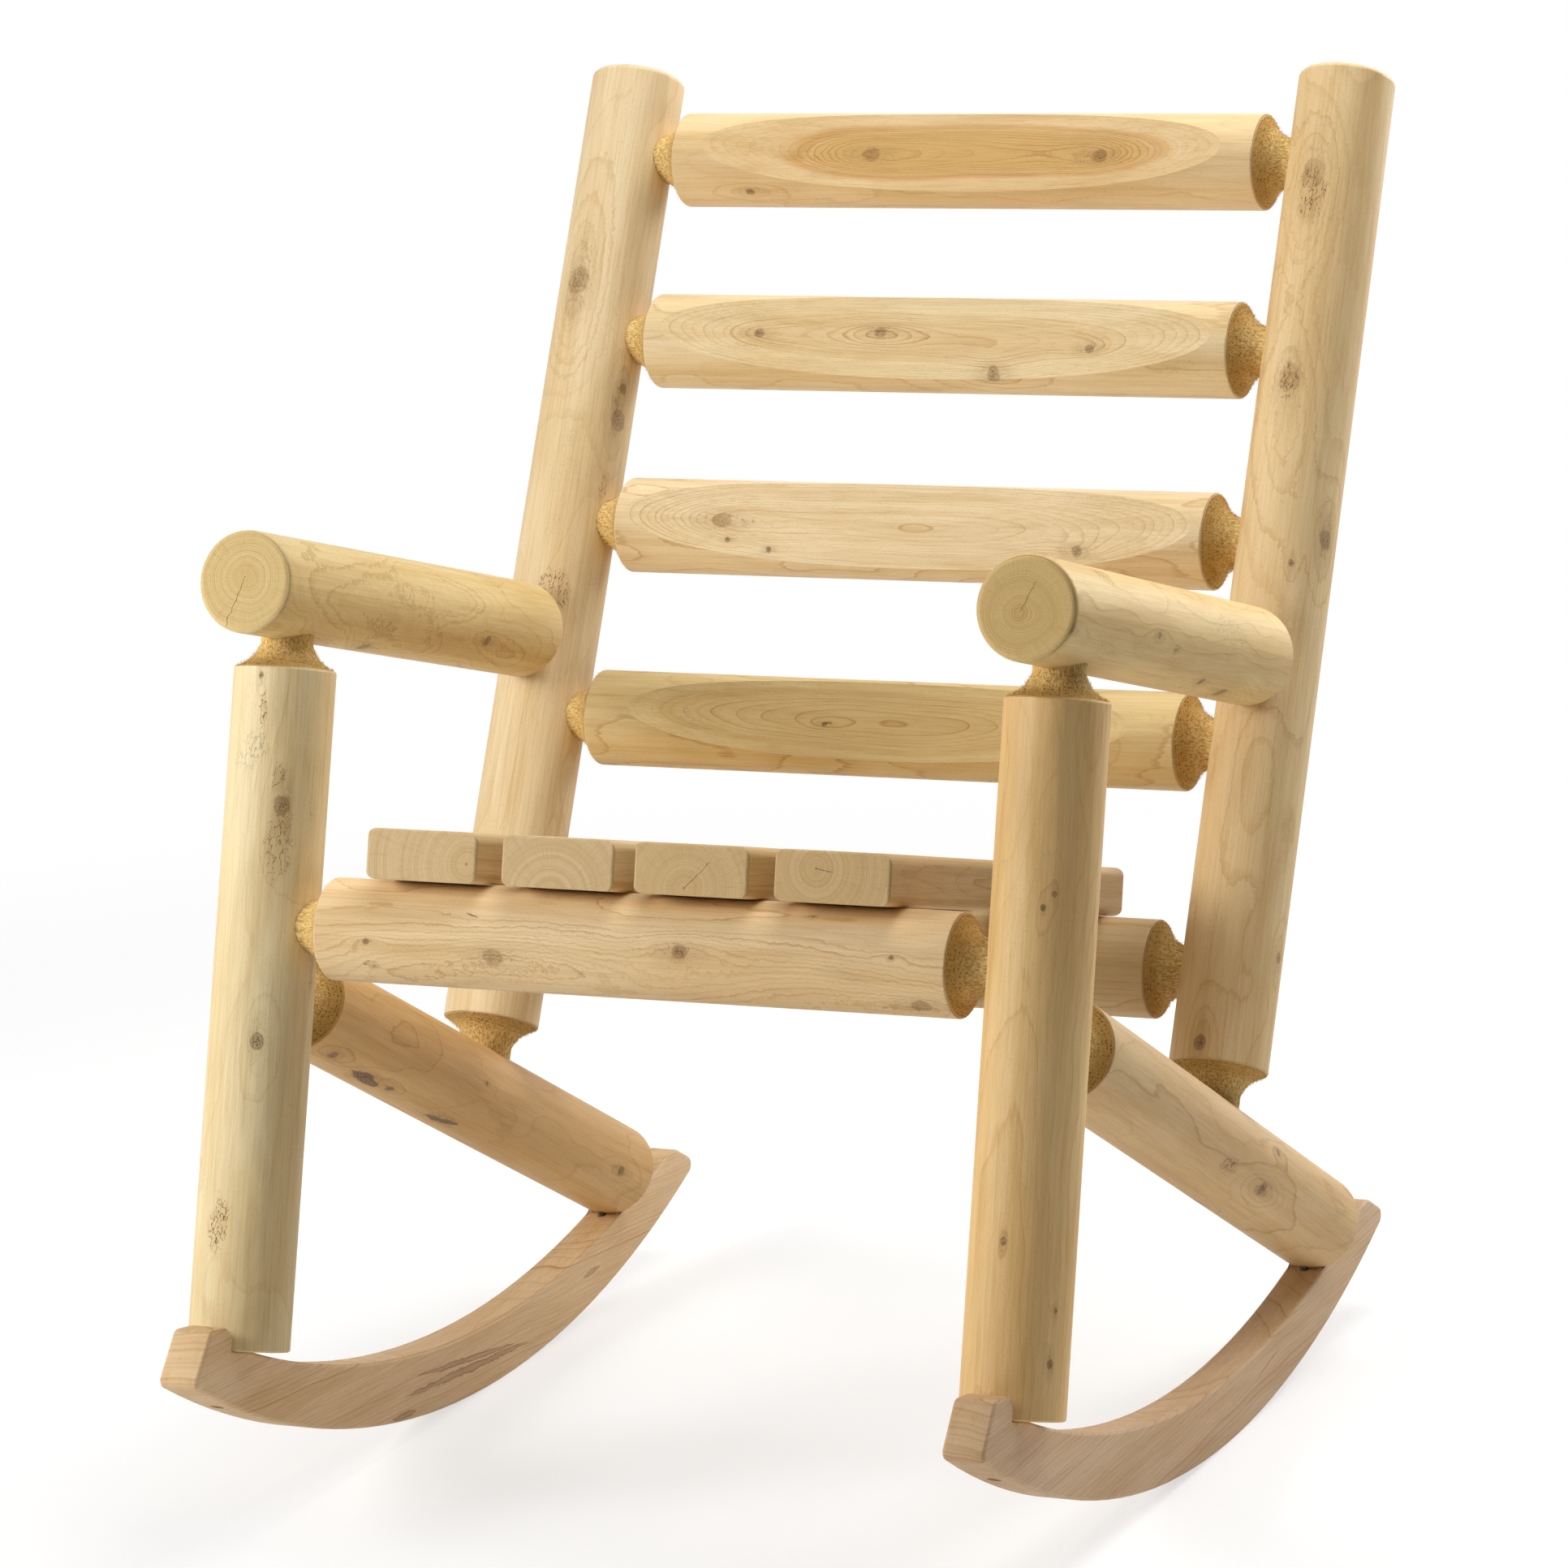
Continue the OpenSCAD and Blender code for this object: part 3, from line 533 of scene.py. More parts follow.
def wood_material(name, place, values, knots=(), streaks=(), patches=(), rims=ANYWHERE, radius_mm=38.1,
                  flat=None, fill=0.8):
    """Cedar that grows along the third of the axes; rims are where the tenons' shoulders start, in mm.

    A board has flat, which says how much its narrow sides and its broad sides darken: sawn tone, and on slats painted
    shade.
    """
    middle, axes = place
    material = bpy.data.materials.new("cedar_" + name)
    material.use_nodes = True
    tree = material.node_tree
    shader = tree.nodes["Principled BSDF"]
    g = Graph(tree)
    coordinates = tree.nodes.new("ShaderNodeTexCoord")
    local = g.add("ShaderNodeMapping", {"Vector": coordinates.outputs["Object"], "Location": middle,
                                        "Rotation": axes.to_euler(), "Scale": (0.001,) * 3},
                  vector_type="TEXTURE")

    def facing(axis):
        way = g.add("ShaderNodeVectorMath", {0: coordinates.outputs["Normal"], 1: axes.col[axis]}, out="Value",
                    operation="DOT_PRODUCT")
        return g.step(g.calc("ABSOLUTE", way), 0.55, 0.85)

    x, y, z = g.split(local)
    across = y if flat else g.times(g.calc("ARCTAN2", y, x), radius_mm)
    place_on = (lambda turn: turn) if flat else (lambda turn: math.radians(turn) * radius_mm)
    found = chain(tree, KNOT, [{"Along": along, "Turn": math.radians(turn), "Size": size, "Dark": dark}
                               for along, turn, size, dark in knots],
                  {"Vector": local, "Log Radius": radius_mm},
                  {"Bend": 0.0, "Knot": 0.0, "Tone": 0.0, "Halo": 0.0})
    on_surface = {"Vector": local, "Along": z, "Across": across}
    streak = chain(tree, STREAK, [{"At Along": along, "At Across": place_on(turn), "Slope": slope,
                                   "Length": length, "Width": width}
                                  for along, turn, slope, length, width in streaks],
                   {**on_surface, "Fill": fill}, {"Streak": 0.0})["Streak"]
    patch = chain(tree, PATCH, [{"At Along": along, "At Across": place_on(turn), "Length": length, "Width": width}
                                for along, turn, length, width in patches], on_surface, {"Patch": 0.0})["Patch"]
    rings = tree.nodes.new("ShaderNodeGroup")
    rings.node_tree = RINGS
    surface = tree.nodes.new("ShaderNodeGroup")
    surface.node_tree = SURFACE
    g.feed(rings.inputs["Vector"], local)
    g.feed(rings.inputs["Bend"], found["Bend"])
    past = g.calc("MAXIMUM", g.minus(z, rims[1]), g.minus(rims[0], z))
    edge = 0.0
    if flat:
        # How much each face of a board darkens, as sawn tone and, on the slats, painted shade.
        edge = g.blend_value(facing(0), flat[1], flat[0])
    for label, value in {"Vector": local, "Knot": found["Knot"], "Knot Tone": found["Tone"],
                         "Halo": found["Halo"], "Streak": streak, "Patch": patch, "Edge Tone And Shade": edge,
                         "Neck": g.step(past, 0.0, 0.8), "Rim": g.minus(1.0, g.step(past, 0.4, RIM_MM)),
                         "End": facing(2), "Cut Across": facing(2)}.items():
        g.feed(surface.inputs[label], value)
    for label in ("Late Wood", "Ring Line", "Radius", "Turn"):
        g.feed(surface.inputs[label], rings.outputs[label])
    for label, value in values.items():
        for group in (rings, surface):
            if label in group.inputs:
                group.inputs[label].default_value = value
    bump = g.add("ShaderNodeBump", {"Height": surface.outputs["Height"], "Distance": 0.001, "Strength": 1.0})
    g.feed(shader.inputs["Base Color"], surface.outputs["Color"])
    g.feed(shader.inputs["Roughness"], surface.outputs["Roughness"])
    g.feed(shader.inputs["Normal"], bump)
    shine_of(shader)
    return material


def wear(piece, material):
    """Gives a finished piece its material."""
    piece.data.materials.clear()
    piece.data.materials.append(material)


print("recipe ready")

# %% [markdown]
# ## The logs
# The knots are placed where a buyer would see them, as distance along the log from its middle in
# millimetres, turn round it in degrees, size and darkness. The far side of each log gets a few
# more from a seeded draw, because no cedar log is clear all round.

# %% Logs
TENON_MM = {"leg": 59.5, "post": 61.5, "brace": 57.5, "arm": 58.0, "rail": 57.5}
KINDS = {"leg": (LEG_TILT, False, "top"), "post": (POST_TILT, False, "bottom"),
         "brace": (BRACE_TILT, False, "bottom"), "arm": (ARM_TILT, False, "top"),
         "rail": (POST_TILT, True, "both"), "seat_rail": (LEG_TILT, True, "both")}
LOGS = {
    "front_leg_left": {
        "kind": "leg", "knots": [(120, -55, 6.5, 0.8), (-54, -65, 5.5, 0.9), (215, -89, 2.4, 0.7)],
        "patches": [(92, -56, 70, 24), (190, -84, 44, 8), (-3, 2, 40, 8), (140, -60, 30, 12),
                                                (-190, -96, 50, 22)],
        "looks": {"Pith X": 2, "Drift X": 0.012, "Ring Width": 2.4, "Grain": 0.25, "Torn": 0.5, "Lumps": 1.8,
                  "Wood": colour(234, 214, 168)}},
    "front_leg_right": {
        "kind": "leg", "knots": [(75, -70, 2.2, 1), (85, -59, 2.0, 1), (-158, -90, 2.6, 0.9), (-241, -30, 3, 1),
                                 (-204, -27, 1.8, 0.8)],
        "looks": {"Pith Y": -6, "Drift Y": 0.014, "Drift X": 0.012, "Ring Width": 1.4, "Grain": 0.36,
                  "Torn": 0.1, "Wood": colour(235, 198, 138)}},
    "back_post_left": {
        "kind": "post", "knots": [(243, -102, 11, 0.5), (222, -103, 9, 0.2), (131, -20, 8, 0.6), (158, -20, 4, 0.7)],
        "patches": [(-20, -70, 46, 34), (74, -25, 30, 14), (150, -28, 40, 14)],
        "looks": {"Pith X": -3, "Drift X": 0.01, "Drift Y": -0.006, "Ring Width": 2.1, "Grain": 0.3,
                  "Wood": colour(235, 211, 167)}},
    "back_post_right": {
        "kind": "post", "knots": [(338, -97, 10.5, 0.32), (309, -98, 9, 0.06), (170, -93, 9.5, 0.32),
                                  (47, -21, 7, 0.7), (22, -62, 2.6, 0.9), (-357, -96, 5.5, 0.9), (-281, -6, 4, 0.6),
                                  (90, -80, 12, 0), (-150, -70, 10, 0)],
        "patches": [(322, -97, 60, 30), (168, -93, 40, 26)],
        "looks": {"Pith Y": 3, "Drift X": -0.008, "Drift Y": 0.008, "Ring Width": 2.0, "Grain": 0.33,
                  "Wood": colour(235, 206, 156)}},
    "side_brace_left": {
        "kind": "brace", "knots": [(-232, 61, 4.5, 1), (264, 18, 4.5, 1), (-8, 2, 2, 1)],
        "streaks": [(-165, 70, 0.1, 56, 7), (-24, 72, -0.15, 50, 5)],
        "patches": [(-165, 70, 64, 24), (-24, 72, 60, 20)],
        "looks": {"Pith X": 2, "Drift X": -0.01, "Ring Width": 1.9, "Grain": 0.55,
                  "Wood": colour(222, 183, 124)}},
    "side_brace_right": {
        "kind": "brace", "knots": [(100, 31, 6, 0.8), (116, -19, 3.5, 0.8)], "patches": [(20, 30, 40, 16)],
        "looks": {"Pith Y": 2, "Drift Y": -0.012, "Ring Width": 1.8, "Grain": 0.5,
                  "Wood": colour(217, 184, 132)}},
    "arm_left": {
        "kind": "arm", "knots": [(77, 28, 4.5, 0.9), (-90, 28, 11, 0.1), (-20, 62, 9, 0), (24, -12, 8, 0),
                                 (-175, 12, 12, 0), (128, 48, 8, 0), (-40, -40, 8, 0)],
        "patches": [(-100, -28, 14, 6)],
        "looks": {"Pith X": 0.5, "Pith Y": -2.5, "Ring Width": 1.5, "Ripple": 6.0, "Grain": 0.55, "Heart": 0.4,
                  "Heart Radius": 11, "Wood": colour(229, 204, 146), "Check Turn": 1.9,
                  "Check Length": 44}},
    "arm_right": {
        "kind": "arm", "knots": [(-262, 21, 4.5, 0.7), (-92, 8, 3, 0.7), (40, 52, 4, 0.7)],
        "patches": [(-172, -54, 30, 24), (-50, 19, 20, 10)],
        "looks": {"Pith X": -3.5, "Pith Y": 5, "Ring Width": 1.6, "Heart": 0.2, "Grain": 0.4, "Torn": 0.4,
                  "Wood": colour(228, 198, 136), "Check Turn": -1.1, "Check Length": 26}},
    "back_rail_1": {
        "kind": "rail", "knots": [(-77, 7, 6.5, 0.4), (120, 10, 6, 0.55), (-183, 62, 3.6, 1)],
        "looks": {"Pith X": -1, "Ring Width": 1.3, "Heart": 0.9, "Heart Radius": 29.5, "Grain": 0.36,
                  "Heart Wood": colour(212, 170, 104), "Wood": colour(234, 204, 154)}},
    "back_rail_2": {
        "kind": "rail", "knots": [(-150, 2, 4.2, 0.6), (-47, -13, 4.8, 0.6), (134, 20, 3.6, 0.75),
                                  (52, 59, 4.6, 0.6)],
        "looks": {"Pith X": 3, "Ring Width": 1.6, "Heart": 0.3, "Heart Radius": 22, "Grain": 0.6,
                  "Wood": colour(237, 214, 168)}},
    "back_rail_3": {
        "kind": "rail", "knots": [(-158, 4, 7, 0.45), (-152, 35, 2, 1), (-117, 48, 2, 1), (146, 37, 4, 0.6)],
        "looks": {"Pith X": -2, "Ring Width": 1.4, "Heart": 0.2, "Heart Radius": 22, "Grain": 0.55,
                  "Wood": colour(240, 218, 176)}},
    "back_rail_4": {
        "kind": "rail", "knots": [(-45, 10, 2.4, 0.9)],
        "looks": {"Pith X": 2, "Ring Width": 1.4, "Heart": 0.5, "Heart Radius": 29, "Grain": 0.65,
                  "Heart Wood": colour(212, 180, 118), "Wood": colour(223, 198, 142)}},
    "front_seat_rail": {
        "kind": "seat_rail", "knots": [(-103, 23, 7, 0.45), (46, 4, 5.6, 0.7), (228, 54, 6.5, 0.5), (-40, 30, 9, 0),
                                       (140, 40, 11, 0), (-180, 44, 8, 0),
                                       (-206, 13, 2.4, 0.9), (209, -3, 1.6, 0.9)],
        "streaks": [(-122, -23, 0.3, 12, 0.7)], "patches": [(141, -46, 20, 8), (-204, 41, 18, 10)],
        "looks": {"Pith X": -6, "Pith Y": 5, "Ring Width": 1.2, "Heart": 0.2, "Grain": 0.62, "Ripple": 2.2,
                  "Wood": colour(234, 204, 156)}},
    "rear_seat_rail": {
        "kind": "rail", "knots": [(60, 20, 4, 0.8)],
        "looks": {"Pith X": -3, "Ring Width": 1.7, "Heart": 0.2, "Grain": 0.5, "Wood": colour(220, 194, 146)}},
}
FAR_SIDE_KNOTS = 2


def far_knots(name, half_mm, front_turn):
    """A few knots on the side that faces away from front_turn, in degrees."""
    draw = random.Random(name)
    found = []
    for k in range(FAR_SIDE_KNOTS):
        along = (k + draw.uniform(0.15, 0.85)) / FAR_SIDE_KNOTS * 1.5 * half_mm - 0.75 * half_mm
        turn = front_turn + 180 + draw.uniform(-60, 60)
        found.append((along, turn, draw.uniform(3, 6.5), draw.uniform(0.5, 1)))
    return found


log_places = {}
for number, (name, log) in enumerate(LOGS.items()):
    tilt, across, tenons = KINDS[log["kind"]]
    *place, half = place_of(name, tilt, across)
    half_mm = half * 1000
    tenon_mm = TENON_MM["rail" if across else log["kind"]]
    rims = (-half_mm + tenon_mm if tenons in ("bottom", "both") else ANYWHERE[0],
            half_mm - tenon_mm if tenons in ("top", "both") else ANYWHERE[1])
    log_places[name] = (place, rims)
    hidden = far_knots(name, half_mm, 0 if across else -60)
    wear(nodes[name], wood_material(name, place, {"Seed": number + 1.0, "Heart": 0.2, **log["looks"]},
                                    log["knots"] + hidden, log.get("streaks", ()), log.get("patches", ()), rims))
print("logs dressed:", len(LOGS))

# %% [markdown]
# ## Torn fibres
# The tenon cutter tears the wood where it turns the shoulder, so short fibres stand out of it,
# leaning towards the joint. Geometry Nodes scatter them: the shoulder's faces are copied off each
# log with an arrow towards the joint, points are strewn over them from a fixed seed, and each
# point gets a sliver with three sides. There are thousands, so a sliver has only four faces.

# %% Fibre tree
FIBRES_PER_MM2 = 0.16
FIBRE_MM = (0.9, 2.8)
FIBRE_THICK_MM = 0.2
FIBRE_SEED = 7


def fibre_tree():
    tree = bpy.data.node_groups.new("torn_fibres", "GeometryNodeTree")
    tree.is_modifier = True
    tree.interface.new_socket("Shoulders", in_out="INPUT", socket_type="NodeSocketGeometry")
    for label in ("Density", "Shortest", "Longest", "Thickness"):
        tree.interface.new_socket(label, in_out="INPUT", socket_type="NodeSocketFloat")
    tree.interface.new_socket("Seed", in_out="INPUT", socket_type="NodeSocketInt")
    tree.interface.new_socket("Wood", in_out="INPUT", socket_type="NodeSocketMaterial")
    tree.interface.new_socket("Fibres", in_out="OUTPUT", socket_type="NodeSocketGeometry")
    given = tree.nodes.new("NodeGroupInput").outputs
    g = Graph(tree)
    strewn = tree.nodes.new("GeometryNodeDistributePointsOnFaces")
    g.feed(strewn.inputs["Mesh"], given["Shoulders"])
    g.feed(strewn.inputs["Density"], given["Density"])
    g.feed(strewn.inputs["Seed"], given["Seed"])
    joint = g.add("GeometryNodeInputNamedAttribute", {"Name": "towards_joint"}, data_type="FLOAT_VECTOR")
    astray = tree.nodes.new("FunctionNodeRandomValue")
    astray.data_type = "FLOAT_VECTOR"
    g.feed(astray.inputs[0], (-0.6, -0.6, -0.6))
    g.feed(astray.inputs[1], (0.6, 0.6, 0.6))
    g.feed(astray.inputs["Seed"], given["Seed"])
    length = tree.nodes.new("FunctionNodeRandomValue")
    length.data_type = "FLOAT"
    g.feed(length.inputs[2], given["Shortest"])
    g.feed(length.inputs[3], given["Longest"])
    g.feed(length.inputs["Seed"], given["Seed"])
    way = g.add("ShaderNodeVectorMath", {0: strewn.outputs["Normal"], 1: joint}, operation="ADD")
    way = g.add("ShaderNodeVectorMath", {0: way, 1: astray.outputs[0]}, operation="ADD")
    turned = g.add("FunctionNodeAlignRotationToVector", {"Vector": way}, axis="Z")
    sliver = g.add("GeometryNodeMeshCone", {"Vertices": 3, "Radius Top": 0.0, "Radius Bottom": given["Thickness"],
                                            "Depth": 1.0})
    size = g.add("ShaderNodeCombineXYZ", {0: 1.0, 1: 1.0, 2: length.outputs[1]})
    copies = g.add("GeometryNodeInstanceOnPoints", {"Points": strewn.outputs["Points"], "Instance": sliver,
                                                    "Rotation": turned, "Scale": size})
    solid = g.add("GeometryNodeRealizeInstances", {"Geometry": copies})
    done = g.add("GeometryNodeSetMaterial", {"Geometry": solid, "Material": given["Wood"]})
    tree.links.new(done, tree.nodes.new("NodeGroupOutput").inputs[0])
    return tree


FIBRE_TREE = fibre_tree()
print("tree:", FIBRE_TREE.name, len(FIBRE_TREE.nodes), "nodes")

# %% [markdown]
# ## Strewing the fibres
# A shoulder is every face past the rim that is wider than the tenon itself. The fibres are paler
# than the wood behind them, because light shines through them.

# %% Fibres in place
TENON_RADIUS_MM = 19.5


def fibre_material():
    material = bpy.data.materials.new("cedar_fibre")
    material.use_nodes = True
    tree = material.node_tree
    g = Graph(tree)
    shader = tree.nodes["Principled BSDF"]
    place = tree.nodes.new("ShaderNodeTexCoord").outputs["Object"]
    mixed = g.step(g.noise(g.scaled(place, 500, 500, 500), 2.0, 0.6), 0.35, 0.65)
    g.feed(shader.inputs["Base Color"], g.blend(mixed, colour(240, 211, 150), colour(206, 167, 98)))
    g.feed(shader.inputs["Roughness"], g.plus(0.6, g.times(mixed, 0.2)))
    shine_of(shader)
    return material


def shoulder_faces(name, place, rims):
    """Corners of a log's shoulder faces, and for each face the way to its joint."""
    middle, axes = place
    corners, ways = [], []
    mesh = nodes[name].data
    for face in mesh.polygons:
        points = [mesh.vertices[i].co for i in face.vertices]
        x, y, z = (axes.transposed() @ (sum(points, Vector()) / len(points) - middle)) * 1000
        if math.hypot(x, y) > TENON_RADIUS_MM + 1.0 and not rims[0] - 0.2 < z < rims[1] + 0.2:
            corners.append([point[:] for point in points])
            ways.append(axes.col[2] * math.copysign(1.0, z))
    return corners, ways


def bake(carrier, name):
    """The carrier's finished shape as a plain piece; the carrier and its modifier go."""
    shape = bpy.data.meshes.new_from_object(carrier.evaluated_get(bpy.context.evaluated_depsgraph_get()))
    bpy.data.objects.remove(carrier)
    piece = bpy.data.objects.new(name, shape)
    bpy.context.scene.collection.objects.link(piece)
    return piece


def set_up(name, mesh, tree, values):
    """An object that carries a node tree with the given inputs."""
    carrier = bpy.data.objects.new(name, mesh)
    bpy.context.scene.collection.objects.link(carrier)
    modifier = carrier.modifiers.new(name, "NODES")
    modifier.node_group = tree
    for item in tree.interface.items_tree:
        if item.in_out == "INPUT" and item.name in values:
            modifier[item.identifier] = values[item.name]
    return carrier


faces = [shoulder_faces(name, *found) for name, found in log_places.items()]
corners = [corner for found, ways in faces for face in found for corner in face]
ways = [way[:] for found, ways in faces for way, face in zip(ways, found) for corner in face]
shoulders = bpy.data.meshes.new("shoulders")
shoulders.from_pydata(corners, [], [(k, k + 1, k + 2) for k in range(0, len(corners), 3)])
arrows = shoulders.attributes.new("towards_joint", "FLOAT_VECTOR", "POINT")
arrows.data.foreach_set("vector", np.array(ways).ravel())
FIBRE_WOOD = fibre_material()
fibres = bake(set_up("shoulders", shoulders, FIBRE_TREE, {
    "Density": FIBRES_PER_MM2 * 1e6, "Shortest": FIBRE_MM[0] / 1000, "Longest": FIBRE_MM[1] / 1000,
    "Thickness": FIBRE_THICK_MM / 1000, "Seed": FIBRE_SEED, "Wood": FIBRE_WOOD}), "shoulder_fibres")
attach(fibres, "root")
print(fibres.name, len(fibres.data.polygons), "faces")

# %% [markdown]
# ## The sawn boards
# Slats and rockers are sawn from the same tree, so they use the same wood with its pith somewhere
# else: inside a slat, beside it, or far off for the rockers, whose rings then show as long
# parallel lines. The rockers' wood is smoother and pinker. Their long edges were rounded with a
# router. The construction model leaves these edges sharp, so each rocker is copied, its flat faces
# are joined up, and the edges that lie in its two broad sides get a small round bevel. The copy
# then stands for the plain rocker.

# %% Boards
SLATS = {
    "seat_slat_1": {"Pith X": 37, "Pith Y": 6, "Wood": colour(225, 199, 154)},
    "seat_slat_2": {"Pith X": -4, "Pith Y": 26, "Wood": colour(225, 199, 154)},
    "seat_slat_3": {"Pith X": -3, "Pith Y": 15, "Check Turn": -0.8, "Check Length": 30.0},
    "seat_slat_4": {"Pith X": -11, "Pith Y": -4, "Check Turn": 0.15, "Check Length": 16.0},
}
SLAT_KNOTS = {"seat_slat_1": [(60, -95, 5, 0.7)], "seat_slat_2": [(-120, -85, 6, 0.6)],
              "seat_slat_3": [(130, -80, 4, 0.8)], "seat_slat_4": [(-40, -100, 5, 0.6)]}
# The slats' narrow sides darken much and their broad faces little: partly a browner sawn tone, partly painted shade
# between the slats. The rockers' narrow faces only take a browner sawn tone.
SLAT_TONE_AND_SHADE = (0.9, 0.1)
ROCKER_BROWN = (0.0, 0.35)
ROCKER_TILT = 91.5
ROUTER_MM = 3.4
ROUTER_STEPS = 4
ROCKERS = {
    "rocker_left": {"Pith X": 26, "Pith Y": 260, "Drift Y": 0.06, "Ring Width": 3.8, "Wood": colour(232, 202, 161)},
    "rocker_right": {"Pith X": -30, "Pith Y": 250, "Drift Y": -0.05, "Ring Width": 3.6,
                     "Wood": colour(212, 180, 143)},
}
ROCKER_STREAKS = {"rocker_left": [(-2, 50, 0.12, 185, 3.2), (0, 58, 0.07, 235, 3.8), (-113, 64, 0.1, 44, 3.5),
                                  (228, 39.5, -0.05, 34, 2.5)],
                  "rocker_right": [(150, 45, -0.2, 60, 1.0)]}


def rounded_rocker(name):
    """A copy of a rocker with its long edges rounded over."""
    build = bmesh.new()
    build.from_mesh(nodes[name].data)
    bmesh.ops.remove_doubles(build, verts=build.verts, dist=1e-5)
    bmesh.ops.dissolve_limit(build, angle_limit=math.radians(0.3), verts=build.verts, edges=build.edges)
    sides = [min(v.co.x for v in build.verts), max(v.co.x for v in build.verts)]
    long_edges = [e for e in build.edges if any(all(abs(v.co.x - side) < 1e-5 for v in e.verts) for side in sides)]
    bmesh.ops.bevel(build, geom=long_edges, offset=ROUTER_MM / 1000, offset_type="OFFSET", segments=ROUTER_STEPS,
                    profile=0.5, affect="EDGES", clamp_overlap=False)
    bmesh.ops.triangulate(build, faces=build.faces)
    mesh = bpy.data.meshes.new(name + "_rounded")
    build.to_mesh(mesh)
    build.free()
    mesh.shade_smooth()
    mesh.set_sharp_from_angle(angle=math.radians(12))
    piece = bpy.data.objects.new(name + "_rounded", mesh)
    bpy.context.scene.collection.objects.link(piece)
    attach(piece, "root")
    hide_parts(name)
    return piece


for number, (name, values) in enumerate(SLATS.items()):
    *place, half = place_of(name, SLAT_TILT)
    looks = {"Seed": 31.0 + number, "Heart": 0.15, "Ring Width": 1.3, "Ripple": 2.0, "Grain": 0.6, "Lumps": 0.3,
             "Wood": colour(219, 190, 141), **values}
    wear(nodes[name], wood_material(name, place, looks, SLAT_KNOTS[name], radius_mm=18.75, flat=SLAT_TONE_AND_SHADE))
for number, (name, values) in enumerate(ROCKERS.items()):
    *place, half = place_of(name, ROCKER_TILT)
    looks = {"Seed": 41.0 + number, "Heart": 0.0, "Ripple": 5.0, "Grain": 0.85, "Torn": 0.0, "Lumps": 0.3,
             "Streak Colour": colour(138, 96, 50), **values}
    piece = rounded_rocker(name)
    wear(piece, wood_material(name, place, looks, streaks=ROCKER_STREAKS[name], flat=ROCKER_BROWN, fill=0.5))
    print(piece.name, len(piece.data.polygons), "faces")
print("boards dressed:", len(SLATS) + len(ROCKERS))

# %% [markdown]
# ## Screw steel
# Screws for cedar are coated brown, so that they don't stain the wood. They only show in their
# holes and on the slats, so a dark bronze metal with a little uneven dullness is enough.

# %% Steel


def steel_material():
    material = bpy.data.materials.new("screw_steel")
    material.use_nodes = True
    tree = material.node_tree
    g = Graph(tree)
    shader = tree.nodes["Principled BSDF"]
    shader.inputs["Metallic"].default_value = 1.0
    place = tree.nodes.new("ShaderNodeTexCoord").outputs["Object"]
    dull = g.noise(g.scaled(place, 900, 900, 900), 3.0)
    scratch = g.noise(g.scaled(place, 5000, 5000, 400), 2.0)
    g.feed(shader.inputs["Base Color"], g.blend(dull, colour(132, 108, 80), colour(104, 84, 60)))
    g.feed(shader.inputs["Roughness"], g.plus(0.25, g.times(dull, 0.3)))
    g.feed(shader.inputs["Normal"], g.add("ShaderNodeBump", {"Height": scratch, "Distance": 0.00004}))
    return material


STEEL = steel_material()
print("steel ready")

# %% [markdown]
# ## The screws
# A wood screw is a flat head with a square hole for the driver, a core, a thread wound round it
# and a point. The chair has 34 in four sizes, so Geometry Nodes draw one screw from its sizes and
# put a copy at each place. A place is a point at the middle of a head, with the way out of the
# wood as an arrow, and both are measured on the plain screws of the construction model.

# %% Screw tree
SCREWS = {"slat_screws": (4.5, 62, 9, 3), "tenon_screws": (5, 44, 10, 3.5),
          "arm_screws": (6, 62, 11, 4), "rocker_screws": (6.4, 84, 10, 4)}
DRIVE_MM = 3.4
PITCH_MM = 3.2


